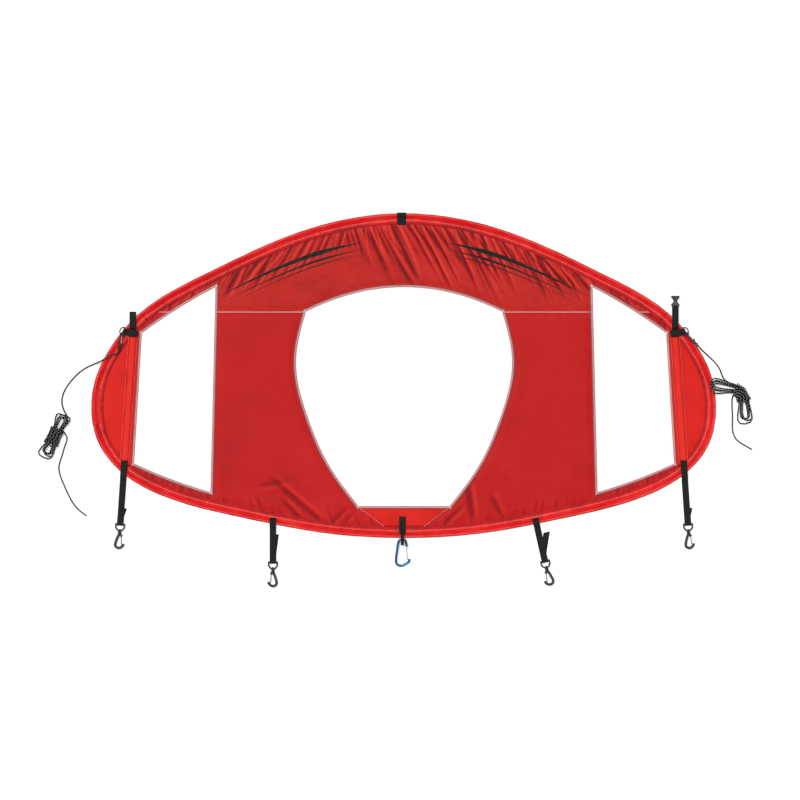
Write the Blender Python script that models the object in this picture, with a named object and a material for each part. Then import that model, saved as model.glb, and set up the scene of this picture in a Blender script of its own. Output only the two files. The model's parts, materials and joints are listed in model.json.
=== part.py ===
"""Canoe sail: a clip-on downwind sail on a springy oval hoop, lying on its back.

Lengths are in metres. +X is the sail's right as seen from the front, +Y points to its top edge
and +Z out of its front. The origin is on the back, in the middle of the flat part of the rim
sleeve at the bottom centre.
"""

import math

import bmesh
import bpy
import numpy as np
from mathutils import Matrix, Vector

# Clearances and cutters
GAP = 0.0003
OVERRUN = 0.002
LEAST_MITRE_SHARE = 0.2

# Hoop: the rod's centre line and section
HOOP_WIDTH = 1.514
HOOP_HEIGHT = 0.7844
ROD_RADIUS = 0.003
ROD_END_GAP = 0.0008
FERRULE_WALL = 0.0006
FERRULE_HALF = 0.03
# Half of the hoop from the top to the bottom: shares of the half width and of the height
HOOP_SHARES = [
    (0.0, 1.0), (0.3333, 0.943), (0.641, 0.8108), (0.8462, 0.6923), (0.9359, 0.5938),
    (0.9872, 0.4923), (1.0, 0.4031), (0.9792, 0.2923), (0.9038, 0.2), (0.7692, 0.1277),
    (0.5128, 0.0615), (0.2564, 0.0154), (0.0, 0.0),
]
# Stations in each span of that half
HOOP_STEPS = [4, 4, 3, 3, 3, 3, 3, 3, 3, 4, 4, 4]
# Control points of the closed hoop, counted from the left end over the top
TOP_LEFT, TOP_RIGHT, LOW_RIGHT, LOW_LEFT = 3, 9, 14, 22

# Rim sleeve: a folded band round the rod with two tails that hold the cloth between them
SLEEVE_WALL = 0.0006
SLEEVE_BAND = 0.027
SLEEVE_SLOPE = 0.008
FERRULE_SWELL = 0.001
COVER_HALF = 0.044
COVER_WALL = 0.0006
COVER_REACH = 0.014
COVER_FADE = 0.03

# Cloth, panes and the cross seam
CLOTH = 0.0005
PANE = 0.0005
PANE_MARGIN = 0.006
PATCH_WALL = 0.0005
# Side window, as shares: outer top, inner top, inner bottom and outer bottom corner
SIDE_WINDOW_SHARES = [(0.8446, 0.632), (0.6077, 0.7751), (0.6238, 0.1375), (0.87, 0.2265)]
SIDE_WINDOW_BOW = 0.004
# Centre window, as shares: its side from the top corner to the bottom corner, and its top
CENTER_WINDOW_SHARES = [
    (0.3159, 0.6989), (0.3482, 0.5418), (0.3127, 0.377), (0.2402, 0.2184), (0.1467, 0.0939),
]
CENTER_WINDOW_TOP_SHARE = 0.7751
CROSS_SEAM_SHARE = 0.6974
WINDOW_MIDDLE_SHARE = 0.42
SEAM_JOG_SHARE = 0.72
ARC_STEPS = 10
# Tack patch, as shares of the hoop: half widths and heights of its top and bottom edge
PATCH_SHARES = [(0.1434, 0.085), (0.0694, 0.0335)]

# Webbing
WEB = 0.0013
WEB_WIDTH = 0.016
WEB_RAMP = 0.012
FOLD_STEPS = 6
# Side strap, as shares: where its pocket starts and where its hook's eye hangs
STRAP_TOP_SHARES = (0.8736, 0.62)
SIDE_EYE_SHARES = (0.9146, 0.038)
POCKET_LENGTH = 0.302
POCKET_WALL = 0.0006
POCKET_FLANGE = 0.0033
SIDE_TAIL = 0.039
# Lower straps: distance from the middle to the sewn end, length to the eye, lean, free tail
LOWER_STRAP_X_SHARE = 0.4225
LOWER_SEWN_SHARE = 0.0566
LOWER_STRAP_LENGTH = 0.1075
LOWER_LEANS = {"left": math.radians(0.0), "right": math.radians(12.8)}
LOWER_TAIL = 0.068

# Swivel snap hook: the eye that the strap is folded round
EYE_BAR = 0.002
EYE_INSIDE = 0.017
EYE_DROP = 0.0158
EYE_SIDE = 0.008
BOSS_RADIUS = 0.0042
BOSS_LENGTH = 0.0042
EYE_SHOULDER_SHARE = 0.62
EYE_FOOT_SHARE = 0.6
STUD_RADIUS = 0.0016
HEAD_RADIUS = 0.0024
HEAD_TIP_SHARE = 0.7
HEAD_LENGTH = 0.0016
# The hook's body: barrel, neck and bow, with Y down from the middle of the boss
BARREL_RADIUS = 0.0046
BARREL_LENGTH = 0.0085
BOW_HALF_THICK = 0.0037
BOW_HALF_WIDE = 0.0032
HOOK_LENGTH = 0.0423
HOOK_HALF = 0.0094
# Centre line of the bow as shares of the hook's half width and length
BOW_SHARES = [
    (0.1, 0.2), (0.36, 0.33), (0.66, 0.52), (0.9, 0.7), (0.98, 0.82), (0.78, 0.935),
    (0.3, 1.0), (-0.26, 1.0), (-0.74, 0.935), (-1.1, 0.835), (-1.1, 0.745),
]
GATE_PIVOT_SHARES = (-0.44, 0.27)
KNUCKLE_RADIUS = 0.0034
GATE_ROOT_RADIUS = 0.0023
GATE_PIN_RADIUS = 0.001
GATE_THICK = 0.0028
GATE_BAR = 0.0018
# How far a gate's slot turns out of the hook from the line to the gate's tip
SLOT_TURN_SHARE = 0.1

# Carabiner, with Y down from the middle of its top bend
CARABINER_LENGTH = 0.0637
CARABINER_HALF = 0.0158
CARABINER_ROD = 0.00315
CARABINER_SHARES = [
    (0.62, 0.2), (0.53, 0.075), (0.34, 0.0), (0.2, 0.0), (-0.2, 0.0), (-0.34, 0.0),
    (-0.58, 0.07), (-0.72, 0.2), (-0.87, 0.5), (-1.0, 0.82), (-0.86, 0.94), (-0.4, 1.0),
    (0.05, 1.0), (0.5, 0.93), (1.02, 0.84), (1.02, 0.74),
]
CARABINER_PIVOT_SHARES = (0.62, 0.21)
CARABINER_KNUCKLE = 0.0037
WIRE_RADIUS = 0.0009
WIRE_SPREAD = 0.0012
WIRE_ROOT_SHARE = 0.5
WIRE_WIDE_SHARE = 0.9
CENTER_TAB_X = -0.004
LOOP_REACH = 0.0215
LOOP_SEAT = 0.0115
LOOP_WIDTH = 0.0078
BOTTOM_TAB_SEWN = 0.022

# Top tab
TOP_TAB_X = -0.006
TOP_TAB_WIDTH = 0.022
TOP_TAB_REACH = 0.025
TOP_TAB_CORNER_SHARE = 0.4

# Closure loop, toggle strap and toggle
CORNER_X_SHARE = 0.8736
CORNER_FOOT_SHARE = 0.624
LOOP_LENGTH = 0.0585
TOGGLE_STRAP_LENGTH = 0.075
TOGGLE_LENGTH = 0.026
TOGGLE_HALF = 0.0105
TOGGLE_HALF_THICK = 0.003
TOGGLE_SOCKET = 0.004
# Toggle outline from its base: shares of the length, half width and half thickness
TOGGLE_SHARES = [
    (0.0, 0.84, 0.8), (0.05, 0.95, 1.0), (0.22, 0.95, 1.0), (0.28, 0.8, 0.95), (0.4, 0.48, 0.85),
    (0.55, 0.45, 0.85), (0.68, 0.62, 0.9), (0.85, 1.0, 1.0), (0.95, 1.0, 1.0), (1.0, 0.86, 0.8),
]

# D-ring on its tab
RING_BAR_SHARES = (0.901, 0.6367)
RING_LEAN = math.radians(10.0)
RING_WIRE = 0.0014
RING_HALF = 0.0095
RING_DEPTH = 0.012
RING_TAB_LENGTH = 0.033
RING_TAB_PINCH = 0.01
RING_TAB_SQUEEZE = 0.0006
RING_TAB_LIFT = 0.0012
RING_STEPS = 10
RING_LEG = 0.0034
RING_TILT = math.radians(30.0)
RING_LINKS = {"left": math.radians(76.0), "right": math.radians(60.0)}

# Rein hook, with Y down from the top of its bow
REIN_ROD = 0.0016
REIN_HALF = 0.0042
REIN_SHANK = 0.0285
REIN_EYE_RADIUS = 0.0034
REIN_EYE_DROP = 0.0385
REIN_NOSE = 0.0085
REIN_PIVOT_DROP = 0.0262
REIN_KNUCKLE = 0.0026
REIN_ROOT_RADIUS = 0.0018
REIN_PIN_RADIUS = 0.0007
REIN_GATE_THICK = 0.0012
REIN_GATE_BAR = 0.0016
REIN_GATE_SEAT_SHARE = 0.7
REIN_SHOULDER_SHARE = 0.4
REIN_WEB_SHARE = 0.5
REIN_WEB_THICK_SHARE = 0.8
REIN_EYE_ROD_SHARE = 0.9
REIN_ROLL = math.radians(48.0)
REIN_PITCH = math.radians(8.0)
REIN_HEADINGS = {"left": math.radians(-101.0), "right": math.radians(-46.1)}
LINK_SLACK = 0.0014

# Reins: the cord, its hanks and its chosen routes over the rim to the floor
CORD_RADIUS = 0.0015
CORD_STEP = 0.009
CURVE_SAMPLES = 12
LOOP_POINTS = 24
LAYER_HALF = 0.00178
HANK_TURNS = 2
HANK_WAIST = 0.0097
HANK_STEP = 0.0038
HANK_END = 0.028
HANK_BLUNT = 0.75
HANK_LATE_SHARE = 0.4
WRAP_RADIUS = 0.0055
WRAP_HALF = 0.023
WRAP_PITCH = 0.0075
WRAP_START = 0.35
# The cord's climb to the first wrap: cords before it, share of the half width, cords above it
CLIMB_SHARES = [(1.1, 1.06, -0.74), (1.7, 0.7, 0.25), (1.3, 0.1, 0.1), (0.55, -0.5, 0.0)]
BEND_RADIUS = 0.03
LIFT_START = 0.03
HANKS = {
    "left": {
        "place": (-0.8518, 0.2303), "heading": math.radians(65.6), "half": 0.052, "hand": -1,
        "start": math.radians(25.0), "wraps": 5.42, "bend": 0.0, "lift": 0.0,
    },
    "right": {
        "place": (0.8198, 0.3365), "heading": math.radians(134.4), "half": 0.072, "hand": -1,
        "start": math.radians(74.0), "wraps": 5.0, "bend": math.radians(75.3), "lift": 0.0075,
    },
}
LEAD_ROUTES = {
    "left": [
        (-0.7115, 0.4265, 0.0092), (-0.7359, 0.4135, 0.0097), (-0.7637, 0.4014, 0.0032),
        (-0.7906, 0.3853, 0.0016), (-0.8101, 0.3658, 0.0016), (-0.8318, 0.3304, 0.0018),
        (-0.8345, 0.3096, 0.0024), (-0.8277, 0.288, 0.004),
    ],
    "right": [
        (0.7286, 0.4365, 0.0098), (0.7527, 0.4146, 0.0032), (0.771, 0.39, 0.0018),
        (0.781, 0.368, 0.003),
    ],
}
TAIL_ROUTES = {
    "left": [
        (-0.8262, 0.2335, 0.0016), (-0.8225, 0.2255, 0.0016), (-0.8262, 0.2085, 0.0016),
        (-0.8355, 0.1779, 0.0016), (-0.8418, 0.1559, 0.0016),
        (-0.8328, 0.1169, 0.0016), (-0.8179, 0.0839, 0.0016), (-0.8003, 0.0559, 0.0016),
        (-0.7744, 0.0339, 0.0016),
    ],
    "right": [
        (0.8013, 0.273, 0.0016), (0.8028, 0.2364, 0.0016), (0.8101, 0.2218, 0.0016),
        (0.8296, 0.2072, 0.0016), (0.8491, 0.1959, 0.0016),
    ],
}

SIDES = {"left": -1, "right": 1}

# Heights that follow from the layers
TUBE_RADIUS = ROD_RADIUS + GAP + SLEEVE_WALL
TAIL_REACH = SLEEVE_BAND - TUBE_RADIUS
CLOTH_LOW = SLEEVE_WALL + GAP
CLOTH_TOP = CLOTH_LOW + CLOTH
ON_CLOTH = CLOTH_TOP + GAP
TAIL_TOP = ON_CLOTH + SLEEVE_WALL
ON_TAIL = TAIL_TOP + GAP
TUBE_TOP = 2 * TUBE_RADIUS
ON_TUBE = TUBE_TOP + GAP
HOOP_LOW_Y = -(SLEEVE_SLOPE + TAIL_REACH) / 2
EYE_Z = max(EYE_BAR + GAP + WEB, BARREL_RADIUS + GAP)

COLORS = {
    "rod": ((0.55, 0.5, 0.38), 0.4, 0.0),
    "steel": ((0.62, 0.62, 0.6), 0.3, 1.0),
    "sleeve": ((0.78, 0.02, 0.02), 0.6, 0.0),
    "panel": ((0.5, 0.025, 0.02), 0.65, 0.0),
    "upper": ((0.58, 0.035, 0.025), 0.65, 0.0),
    "end": ((0.72, 0.03, 0.02), 0.6, 0.0),
    "pane": ((0.9, 0.92, 0.94), 0.1, 0.0),
    "web": ((0.014, 0.016, 0.014), 0.8, 0.0),
    "hook": ((0.006, 0.008, 0.007), 0.35, 0.6),
    "blue": ((0.03, 0.1, 0.28), 0.3, 0.9),
    "cord": ((0.03, 0.03, 0.03), 0.8, 0.0),
}


def clear_scene():
    """Removes every object that the file opened with."""
    for obj in list(bpy.data.objects):
        bpy.data.objects.remove(obj)


def material(kind):
    """Returns the Principled material of one kind of surface, made on first use."""
    found = bpy.data.materials.get(kind)
    if found:
        return found
    color, roughness, metallic = COLORS[kind]
    made = bpy.data.materials.new(kind)
    made.use_nodes = True
    shader = made.node_tree.nodes["Principled BSDF"]
    shader.inputs["Base Color"].default_value = (*color, 1.0)
    shader.inputs["Roughness"].default_value = roughness
    shader.inputs["Metallic"].default_value = metallic
    made.diffuse_color = (*color, 1.0)
    return made


def place(shares, side=1):
    """Returns the point of the sail at shares of the hoop's half width and height."""
    return Vector((side * shares[0] * HOOP_WIDTH / 2, HOOP_LOW_Y + shares[1] * HOOP_HEIGHT))


def spline(points, steps, closed=False):
    """Samples a smooth cubic curve through points, with so many samples to each span."""
    points = np.array([tuple(p) for p in points], dtype=float)
    count = len(points)
    spans = count if closed else count - 1
    chord = np.array([np.linalg.norm(points[(i + 1) % count] - points[i]) for i in range(spans)])
    system = np.zeros((count, count))
    target = np.zeros(points.shape)
    for i in range(count):
        if closed or 0 < i < count - 1:
            before, after = chord[i - 1], chord[i % spans]
            system[i, i - 1] += after
            system[i, i] += 2 * (before + after)
            system[i, (i + 1) % count] += before
            ahead = points[(i + 1) % count] - points[i]
            behind = points[i] - points[i - 1]
            target[i] = 3 * (after / before * behind + before / after * ahead)
        else:
            other, span = (1, 0) if i == 0 else (i - 1, i - 1)
            system[i, i], system[i, other] = 2, 1
            target[i] = 3 * (points[max(i, other)] - points[min(i, other)]) / chord[span]
    slope = np.linalg.solve(system, target)
    out = []
    steps = [steps] * spans if isinstance(steps, int) else steps
    for i in range(spans):
        j = (i + 1) % count
        for step in range(steps[i]):
            t = step / steps[i]
            out.append(
                (2 * t**3 - 3 * t**2 + 1) * points[i] + (3 * t**2 - 2 * t**3) * points[j]
                + chord[i] * ((t**3 - 2 * t**2 + t) * slope[i] + (t**3 - t**2) * slope[j])
            )
    if not closed:
        out.append(points[-1])
    return [Vector(tuple(p)) for p in out]


def bowed(start, end, bow, steps):
    """Returns points from start up to, not at, end, bowed to the left by a shallow arc."""
    side = Vector((start.y - end.y, end.x - start.x)).normalized()
    points = []
    for step in range(steps):
        t = step / steps
        points.append(start.lerp(end, t) + side * bow * 4 * t * (1 - t))
    return points


def mitre_normals(points, closed):
    """Returns each point's mitred normal on the left of a plane polyline."""
    count = len(points)
    normals = []
    for i in range(count):
        before = points[i] - points[i - 1] if closed or i else points[1] - points[0]
        last = not closed and i == count - 1
        after = points[i] - points[i - 1] if last else points[(i + 1) % count] - points[i]
        left = [Vector((-d[1], d[0])).normalized() for d in (before, after)]
        middle = (left[0] + left[1]).normalized()
        normals.append(middle / max(middle.dot(left[0]), LEAST_MITRE_SHARE))
    return normals


def offset(points, distance):
    """Moves a closed outline to its left by distance."""
    return [p + n * distance for p, n in zip(points, mitre_normals(points, True))]


def clip(outline, point, normal):
    """Keeps the part of a convex outline on the side of a line that its normal points to."""
    kept = []
    for here, there in zip(outline, outline[1:] + outline[:1]):
        a, b = (here - point).dot(normal), (there - point).dot(normal)
        if a >= 0:
            kept.append(here)
        if (a >= 0) != (b >= 0):
            kept.append(here.lerp(there, a / (a - b)))
    return kept


def new_mesh(name, verts, faces):
    """Makes a mesh with its faces pointing out."""
    mesh = bpy.data.meshes.new(name)
    mesh.from_pydata([tuple(v) for v in verts], [], faces)
    work = bmesh.new()
    work.from_mesh(mesh)
    bmesh.ops.recalc_face_normals(work, faces=work.faces)
    work.to_mesh(mesh)
    work.free()
    return mesh


def loft_mesh(name, rings, closed=False):
    """Skins a row of equal rings into one closed surface; an open row gets end caps."""
    count = len(rings[0])
    faces = []
    for i in range(len(rings) if closed else len(rings) - 1):
        a, b = i * count, (i + 1) % len(rings) * count
        for j in range(count):
            k = (j + 1) % count
            faces.append((a + j, a + k, b + k, b + j))
    if not closed:
        last = (len(rings) - 1) * count
        faces += [tuple(range(count)), tuple(range(last, last + count))]
    return new_mesh(name, [v for ring in rings for v in ring], faces)


def plate_mesh(name, outline, low, high):
    """Extrudes a plane outline between two heights."""
    return loft_mesh(name, [[(p[0], p[1], z) for p in outline] for z in (low, high)])


def disc(center, radius, sides, turn=0.5):
    """Returns a circle's outline."""
    angles = [2 * math.pi * (i + turn) / sides for i in range(sides)]
    middle = Vector(center)
    return [middle + Vector((math.cos(a), math.sin(a))) * radius for a in angles]


def sweep_mesh(name, points, wide, thick, sides=8, closed=False):
    """Sweeps an oval section along a plane polyline; flats face sideways and up."""
    section = disc((0, 0), 1 / math.cos(math.pi / sides), sides)
    rings = []
    for p, n in zip(points, mitre_normals(points, closed)):
        across = n * wide
        rings.append([(p[0] + across[0] * x, p[1] + across[1] * x, y * thick) for x, y in section])
    return loft_mesh(name, rings, closed)


def turned_mesh(name, profile, sides=10):
    """Turns a profile of (distance along Y, radius) about the Y axis, with flat ends."""
    rings = []
    for along, radius in profile:
        rings.append([(p[0], along, p[1]) for p in disc((0, 0), radius, sides)])
    return loft_mesh(name, rings)


def ribbon_mesh(name, path, widths, thick=WEB):
    """Gives a side-view path of (along, height) points the width and thickness of webbing."""
    rings = []
    path = [Vector(p) for p in path]
    for p, n, half in zip(path, mitre_normals(path, False), widths):
        upper, lower = p + n * thick / 2, p - n * thick / 2
        rings.append([(-half, *upper), (half, *upper), (half, *lower), (-half, *lower)])
    return loft_mesh(name, rings)


def add(name, mesh, kind, matrix=None, parent=None):
    """Puts a mesh in the scene as one named piece."""
    obj = bpy.data.objects.new(name, mesh)
    if not mesh.materials:
        mesh.materials.append(material(kind))
    bpy.context.scene.collection.objects.link(obj)
    if parent:
        obj.parent = parent
    if matrix:
        obj.matrix_world = matrix
    return obj


def smooth(mesh, angle=math.radians(40)):
    """Shades a round piece smooth up to a crease angle."""
    mesh.shade_smooth()
    mesh.set_sharp_from_angle(angle=angle)
    return mesh


def combine(name, base, tools):
    """Applies (mesh, operation) pairs to a base mesh with exact Booleans."""
    target = bpy.data.objects.new(name, base)
    bpy.context.scene.collection.objects.link(target)
    helpers = []
    for mesh, operation in tools:
        helper = bpy.data.objects.new(name + "_tool", mesh)
        helper.hide_render = True
        helper.display_type = "WIRE"
        bpy.context.scene.collection.objects.link(helper)
        helpers.append(helper)
        step = target.modifiers.new("step", "BOOLEAN")
        step.operation, step.solver, step.object = operation, "EXACT", helper
    graph = bpy.context.evaluated_depsgraph_get()
    result = bpy.data.meshes.new_from_object(target.evaluated_get(graph))
    result.name = name
    for obj in [target, *helpers]:
        bpy.data.objects.remove(obj)
    work = bmesh.new()
    work.from_mesh(result)
    bmesh.ops.dissolve_limit(work, angle_limit=math.radians(0.5), verts=work.verts, edges=work.edges)
    work.to_mesh(result)
    work.free()
    return result


class Hoop:
    """The rim's stations: place, inward direction, distance from the rod's joint and swell."""

    def __init__(self):
        right = [place(s) for s in HOOP_SHARES]
        left = [Vector((-p.x, p.y)) for p in right]
        widest = max(range(len(right)), key=lambda i: right[i].x)
        control = left[widest::-1] + right[1:] + left[-2:widest:-1]
        steps = HOOP_STEPS[widest - 1::-1] + HOOP_STEPS + HOOP_STEPS[:widest - 1:-1]
        self.controls = [sum(steps[:i]) for i in range(len(steps) + 1)]
        self.points = spline(control, steps, closed=True)
        count = len(self.points)
        steps = [(self.points[(i + 1) % count] - self.points[i]).length for i in range(count)]
        self.length = sum(steps)
        self.along = [sum(steps[:i]) for i in range(count)]
        self.inward = [-n for n in mitre_normals(self.points, True)]
        flat = COVER_HALF + max(steps[0], steps[-1])
        self.swell = []
        for s in self.along:
            away = min(s, self.length - s)
            self.swell.append(min(1.0, max(0.0, 1 - (away - flat) / COVER_FADE)))

    def station(self, index):
        """Returns (place, inward normal, swell) at a whole station."""
        index %= len(self.points)
        return self.points[index], self.inward[index], self.swell[index]

    def at(self, s):
        """Returns (place, inward normal, swell) at a distance from the joint, on the chords."""
        s %= self.length
        i = max(k for k, a in enumerate(self.along) if a <= s)
        j = (i + 1) % len(self.points)
        end = self.along[j] if j else self.length
        t = (s - self.along[i]) / (end - self.along[i])
        swell = self.swell[i] * (1 - t) + self.swell[j] * t
        return self.points[i].lerp(self.points[j], t), self.inward[i].lerp(self.inward[j], t), swell

    def stretch(self, start, end, margin=0.0):
        """Returns the stations from one control point to another, drawn in by a margin."""
        first, last = self.controls[start], self.controls[end]
        if last <= first:
            last += len(self.points)
        whole = [self.station(i) for i in range(first, last + 1)]
        total = self.length
        ends = [self.along[i % len(self.points)] for i in (first, last)]
        ends = ends[0] + margin, ends[1] - margin
        return [self.at(ends[0] % total)] + whole[1:-1] + [self.at(ends[1] % total)]

    def inset(self, distance):
        """Returns the closed outline at a distance inside the rod's centre line."""
        return [p + n * distance for p, n in zip(self.points, self.inward)]

    def reach(self, matrix, half, inset, low, high):
        """Returns the least and greatest local Y where the rim, inset, crosses a strip."""
        outline = self.inset(inset)
        back = matrix.inverted()
        found = []
        for a, b in zip(outline, outline[1:] + outline[:1]):
            for step in range(12):
                p = back @ a.lerp(b, step / 12).to_3d()
                if abs(p.x) <= half and low < p.y < high:
                    found.append(p.y)
        return min(found), max(found)


def section_at(frame, section):
    """Places a section of (inward, height) points at a rim station."""
    point, inward, _ = frame
    return [(point.x + inward.x * n, point.y + inward.y * n, z) for n, z in section]


def tube_size(swell):
    """Returns the tube's outer radius and the rod's height at a swell."""
    radius = TUBE_RADIUS + swell * FERRULE_SWELL
    return radius, radius + swell * (GAP + COVER_WALL)


def arc_points(radius, height, degrees):
    """Returns points of the rim's section on a circle round the rod, in degrees."""
    return [
        (radius * math.cos(math.radians(a)), height + radius * math.sin(math.radians(a)))
        for a in degrees
    ]


def sleeve_section(swell):
    """Returns the sleeve's section: a tube round the rod with two flat tails."""
    radius, height = tube_size(swell)
    bore = radius - SLEEVE_WALL
    outer = [(TAIL_REACH, 0), (SLEEVE_SLOPE, 0)]
    outer += arc_points(radius, height, (270, 225, 180, 135, 90, 45))
    outer += [(SLEEVE_SLOPE, TAIL_TOP), (TAIL_REACH, TAIL_TOP)]
    inner = [(TAIL_REACH, ON_CLOTH), (SLEEVE_SLOPE, ON_CLOTH)]
    inner += arc_points(bore, height, (45, 90, 135, 180, 225, 270))
    inner += [(SLEEVE_SLOPE, SLEEVE_WALL), (TAIL_REACH, SLEEVE_WALL)]
    return outer + inner


def cover_section(swell):
    """Returns the section of the wrap over the rod's joint."""
    radius, height = tube_size(swell)
    inner, outer = [], []
    for points, extra in ((inner, GAP), (outer, GAP + COVER_WALL)):
        points += arc_points(radius + extra, height, (270, 225, 180, 135, 90, 45))
        points += [(SLEEVE_SLOPE + extra, TAIL_TOP + extra), (COVER_REACH, TAIL_TOP + extra)]
    return inner + outer[::-1]


def build_rim(hoop):
    """Makes the rod, its ferrule, the four sleeves and the wrap over the joint."""
    frames = [hoop.at(ROD_END_GAP / 2)]
    frames += [hoop.station(i) for i in range(1, len(hoop.points))]
    frames.append(hoop.at(hoop.length - ROD_END_GAP / 2))
    around = range(0, 360, 60)
    rings = [section_at(f, arc_points(ROD_RADIUS, tube_size(f[2])[1], around)) for f in frames]
    add("hoop_rod", smooth(loft_mesh("hoop_rod", rings)), "rod")

    spots = [-FERRULE_HALF, hoop.along[-1] - hoop.length, 0, hoop.along[1], FERRULE_HALF]
    near = [hoop.at(s) for s in spots]
    bore = ROD_RADIUS + GAP
    rings = []
    for angle in range(0, 360, 45):
        skins = []
        for radius in (bore + FERRULE_WALL, bore):
            spots = [arc_points(radius, tube_size(f[2])[1], [angle]) for f in near]
            skins.append([section_at(f, spot)[0] for f, spot in zip(near, spots)])
        rings.append(skins[0] + skins[1][::-1])
    add("hoop_ferrule", smooth(loft_mesh("hoop_ferrule", rings, closed=True)), "steel")

    parts = {
        "sleeve_top": (TOP_LEFT, TOP_RIGHT), "sleeve_right": (TOP_RIGHT, LOW_RIGHT),
        "sleeve_bottom": (LOW_RIGHT, LOW_LEFT), "sleeve_left": (LOW_LEFT, TOP_LEFT),
    }
    for name, (start, end) in parts.items():
        rings = [section_at(f, sleeve_section(f[2])) for f in hoop.stretch(start, end, GAP)]
        add(name, smooth(loft_mesh(name, rings)), "sleeve")

    inside = [s - hoop.length for s in hoop.along if s > hoop.length - COVER_HALF]
    inside += [s for s in hoop.along if s < COVER_HALF]
    near = [hoop.at(s) for s in [-COVER_HALF, *inside, COVER_HALF]]
    rings = [section_at(f, cover_section(f[2])) for f in near]
    add("joint_cover", smooth(loft_mesh("joint_cover", rings)), "sleeve")


def side_window(side):
    """Returns the outline of one side window's opening."""
    corners = [place(s, side) for s in SIDE_WINDOW_SHARES]
    outer_top, inner_top, inner_low, outer_low = corners
    bow = -SIDE_WINDOW_BOW * side
    outline = bowed(outer_top, inner_top, bow, ARC_STEPS // 2) + [inner_top]
    outline += bowed(inner_low, outer_low, bow, ARC_STEPS // 2) + [outer_low]
    return outline if side < 0 else outline[::-1]


def center_window():
    """Returns the outline of the centre window's opening."""
    right = spline([place(s) for s in CENTER_WINDOW_SHARES], 3)
    left = [Vector((-p.x, p.y)) for p in right][::-1]
    rise = place((0, CENTER_WINDOW_TOP_SHARE)).y - right[0].y
    return right + left[:-1] + bowed(left[-1], right[0], rise, ARC_STEPS)


def build_cloth(hoop):
    """Makes the cloth panels and the clear panes, cut from the same outlines."""
    region = hoop.inset(SLEEVE_SLOPE + 2 * GAP)
    middle = region
    for name, side in SIDES.items():
        top, low = place(SIDE_WINDOW_SHARES[0], side), place(SIDE_WINDOW_SHARES[3], side)
        along = (low - top).normalized()
        out = Vector((-along.y, along.x)) * (1 if side > 0 else -1)
        middle = clip(middle, top - out * GAP / 2, -out)
        outer = clip(region, top + out * GAP / 2, out)
        mesh = plate_mesh(f"end_panel_{name}", outer, CLOTH_LOW, CLOTH_TOP)
        add(f"end_panel_{name}", mesh, "end")

    openings = {"left": side_window(-1), "center": center_window(), "right": side_window(1)}
    span = CLOTH_LOW - OVERRUN, CLOTH_TOP + OVERRUN
    cutters = [plate_mesh("hole", outline, *span) for outline in openings.values()]
    far, deep = HOOP_WIDTH, HOOP_HEIGHT
    jog = SEAM_JOG_SHARE * HOOP_WIDTH / 2
    seam = place((0, CROSS_SEAM_SHARE)).y
    waist = place((0, WINDOW_MIDDLE_SHARE)).y
    for name, half_gap in (("lower_panel", -GAP / 2), ("upper_panel", GAP / 2)):
        high, mid = seam + half_gap, waist + half_gap
        zone = [(-far, -deep), (far, -deep), (far, mid), (jog, mid)]
        zone += [(jog, high), (-jog, high), (-jog, mid), (-far, mid)]
        tool = plate_mesh("zone", zone, *span)
        whole = plate_mesh(name, middle, CLOTH_LOW, CLOTH_TOP)
        part = "INTERSECT" if name == "lower_panel" else "DIFFERENCE"
        mesh = combine(name, whole, [(tool, part)] + [(c, "DIFFERENCE") for c in cutters])
        add(name, mesh, "panel" if name == "lower_panel" else "upper")

    for name, outline in openings.items():
        pane = offset(outline, PANE_MARGIN)
        add(f"window_{name}", plate_mesh(f"window_{name}", pane, ON_CLOTH, ON_CLOTH + PANE), "pane")

    (wide, high), (narrow, low) = PATCH_SHARES
    corners = [(-narrow, low), (narrow, low), (wide, high), (-wide, high)]
    patch = [place(c) for c in corners]
    add("tack_patch", plate_mesh("tack_patch", patch, ON_CLOTH, ON_CLOTH + PATCH_WALL), "end")


def turned_frame(origin, angle):
    """Returns the matrix of a frame turned about Z at a point of the plane."""
    return Matrix.Translation((origin.x, origin.y, 0)) @ Matrix.Rotation(angle, 4, "Z")


def strap_end(main_from, tail):
    """Returns the path from a strap's flat run down to its eye, round the bar and back."""
    radius = EYE_BAR + GAP + WEB / 2
    path = [(main_from, 1.5 * WEB + GAP), (8 * radius, 1.5 * WEB + GAP)]
    for step in range(FOLD_STEPS + 1):
        angle = math.pi / 2 + math.pi * step / FOLD_STEPS
        path.append((radius * math.cos(angle), EYE_Z + radius * math.sin(angle)))
    return path + [(tail, WEB / 2)]


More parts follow.
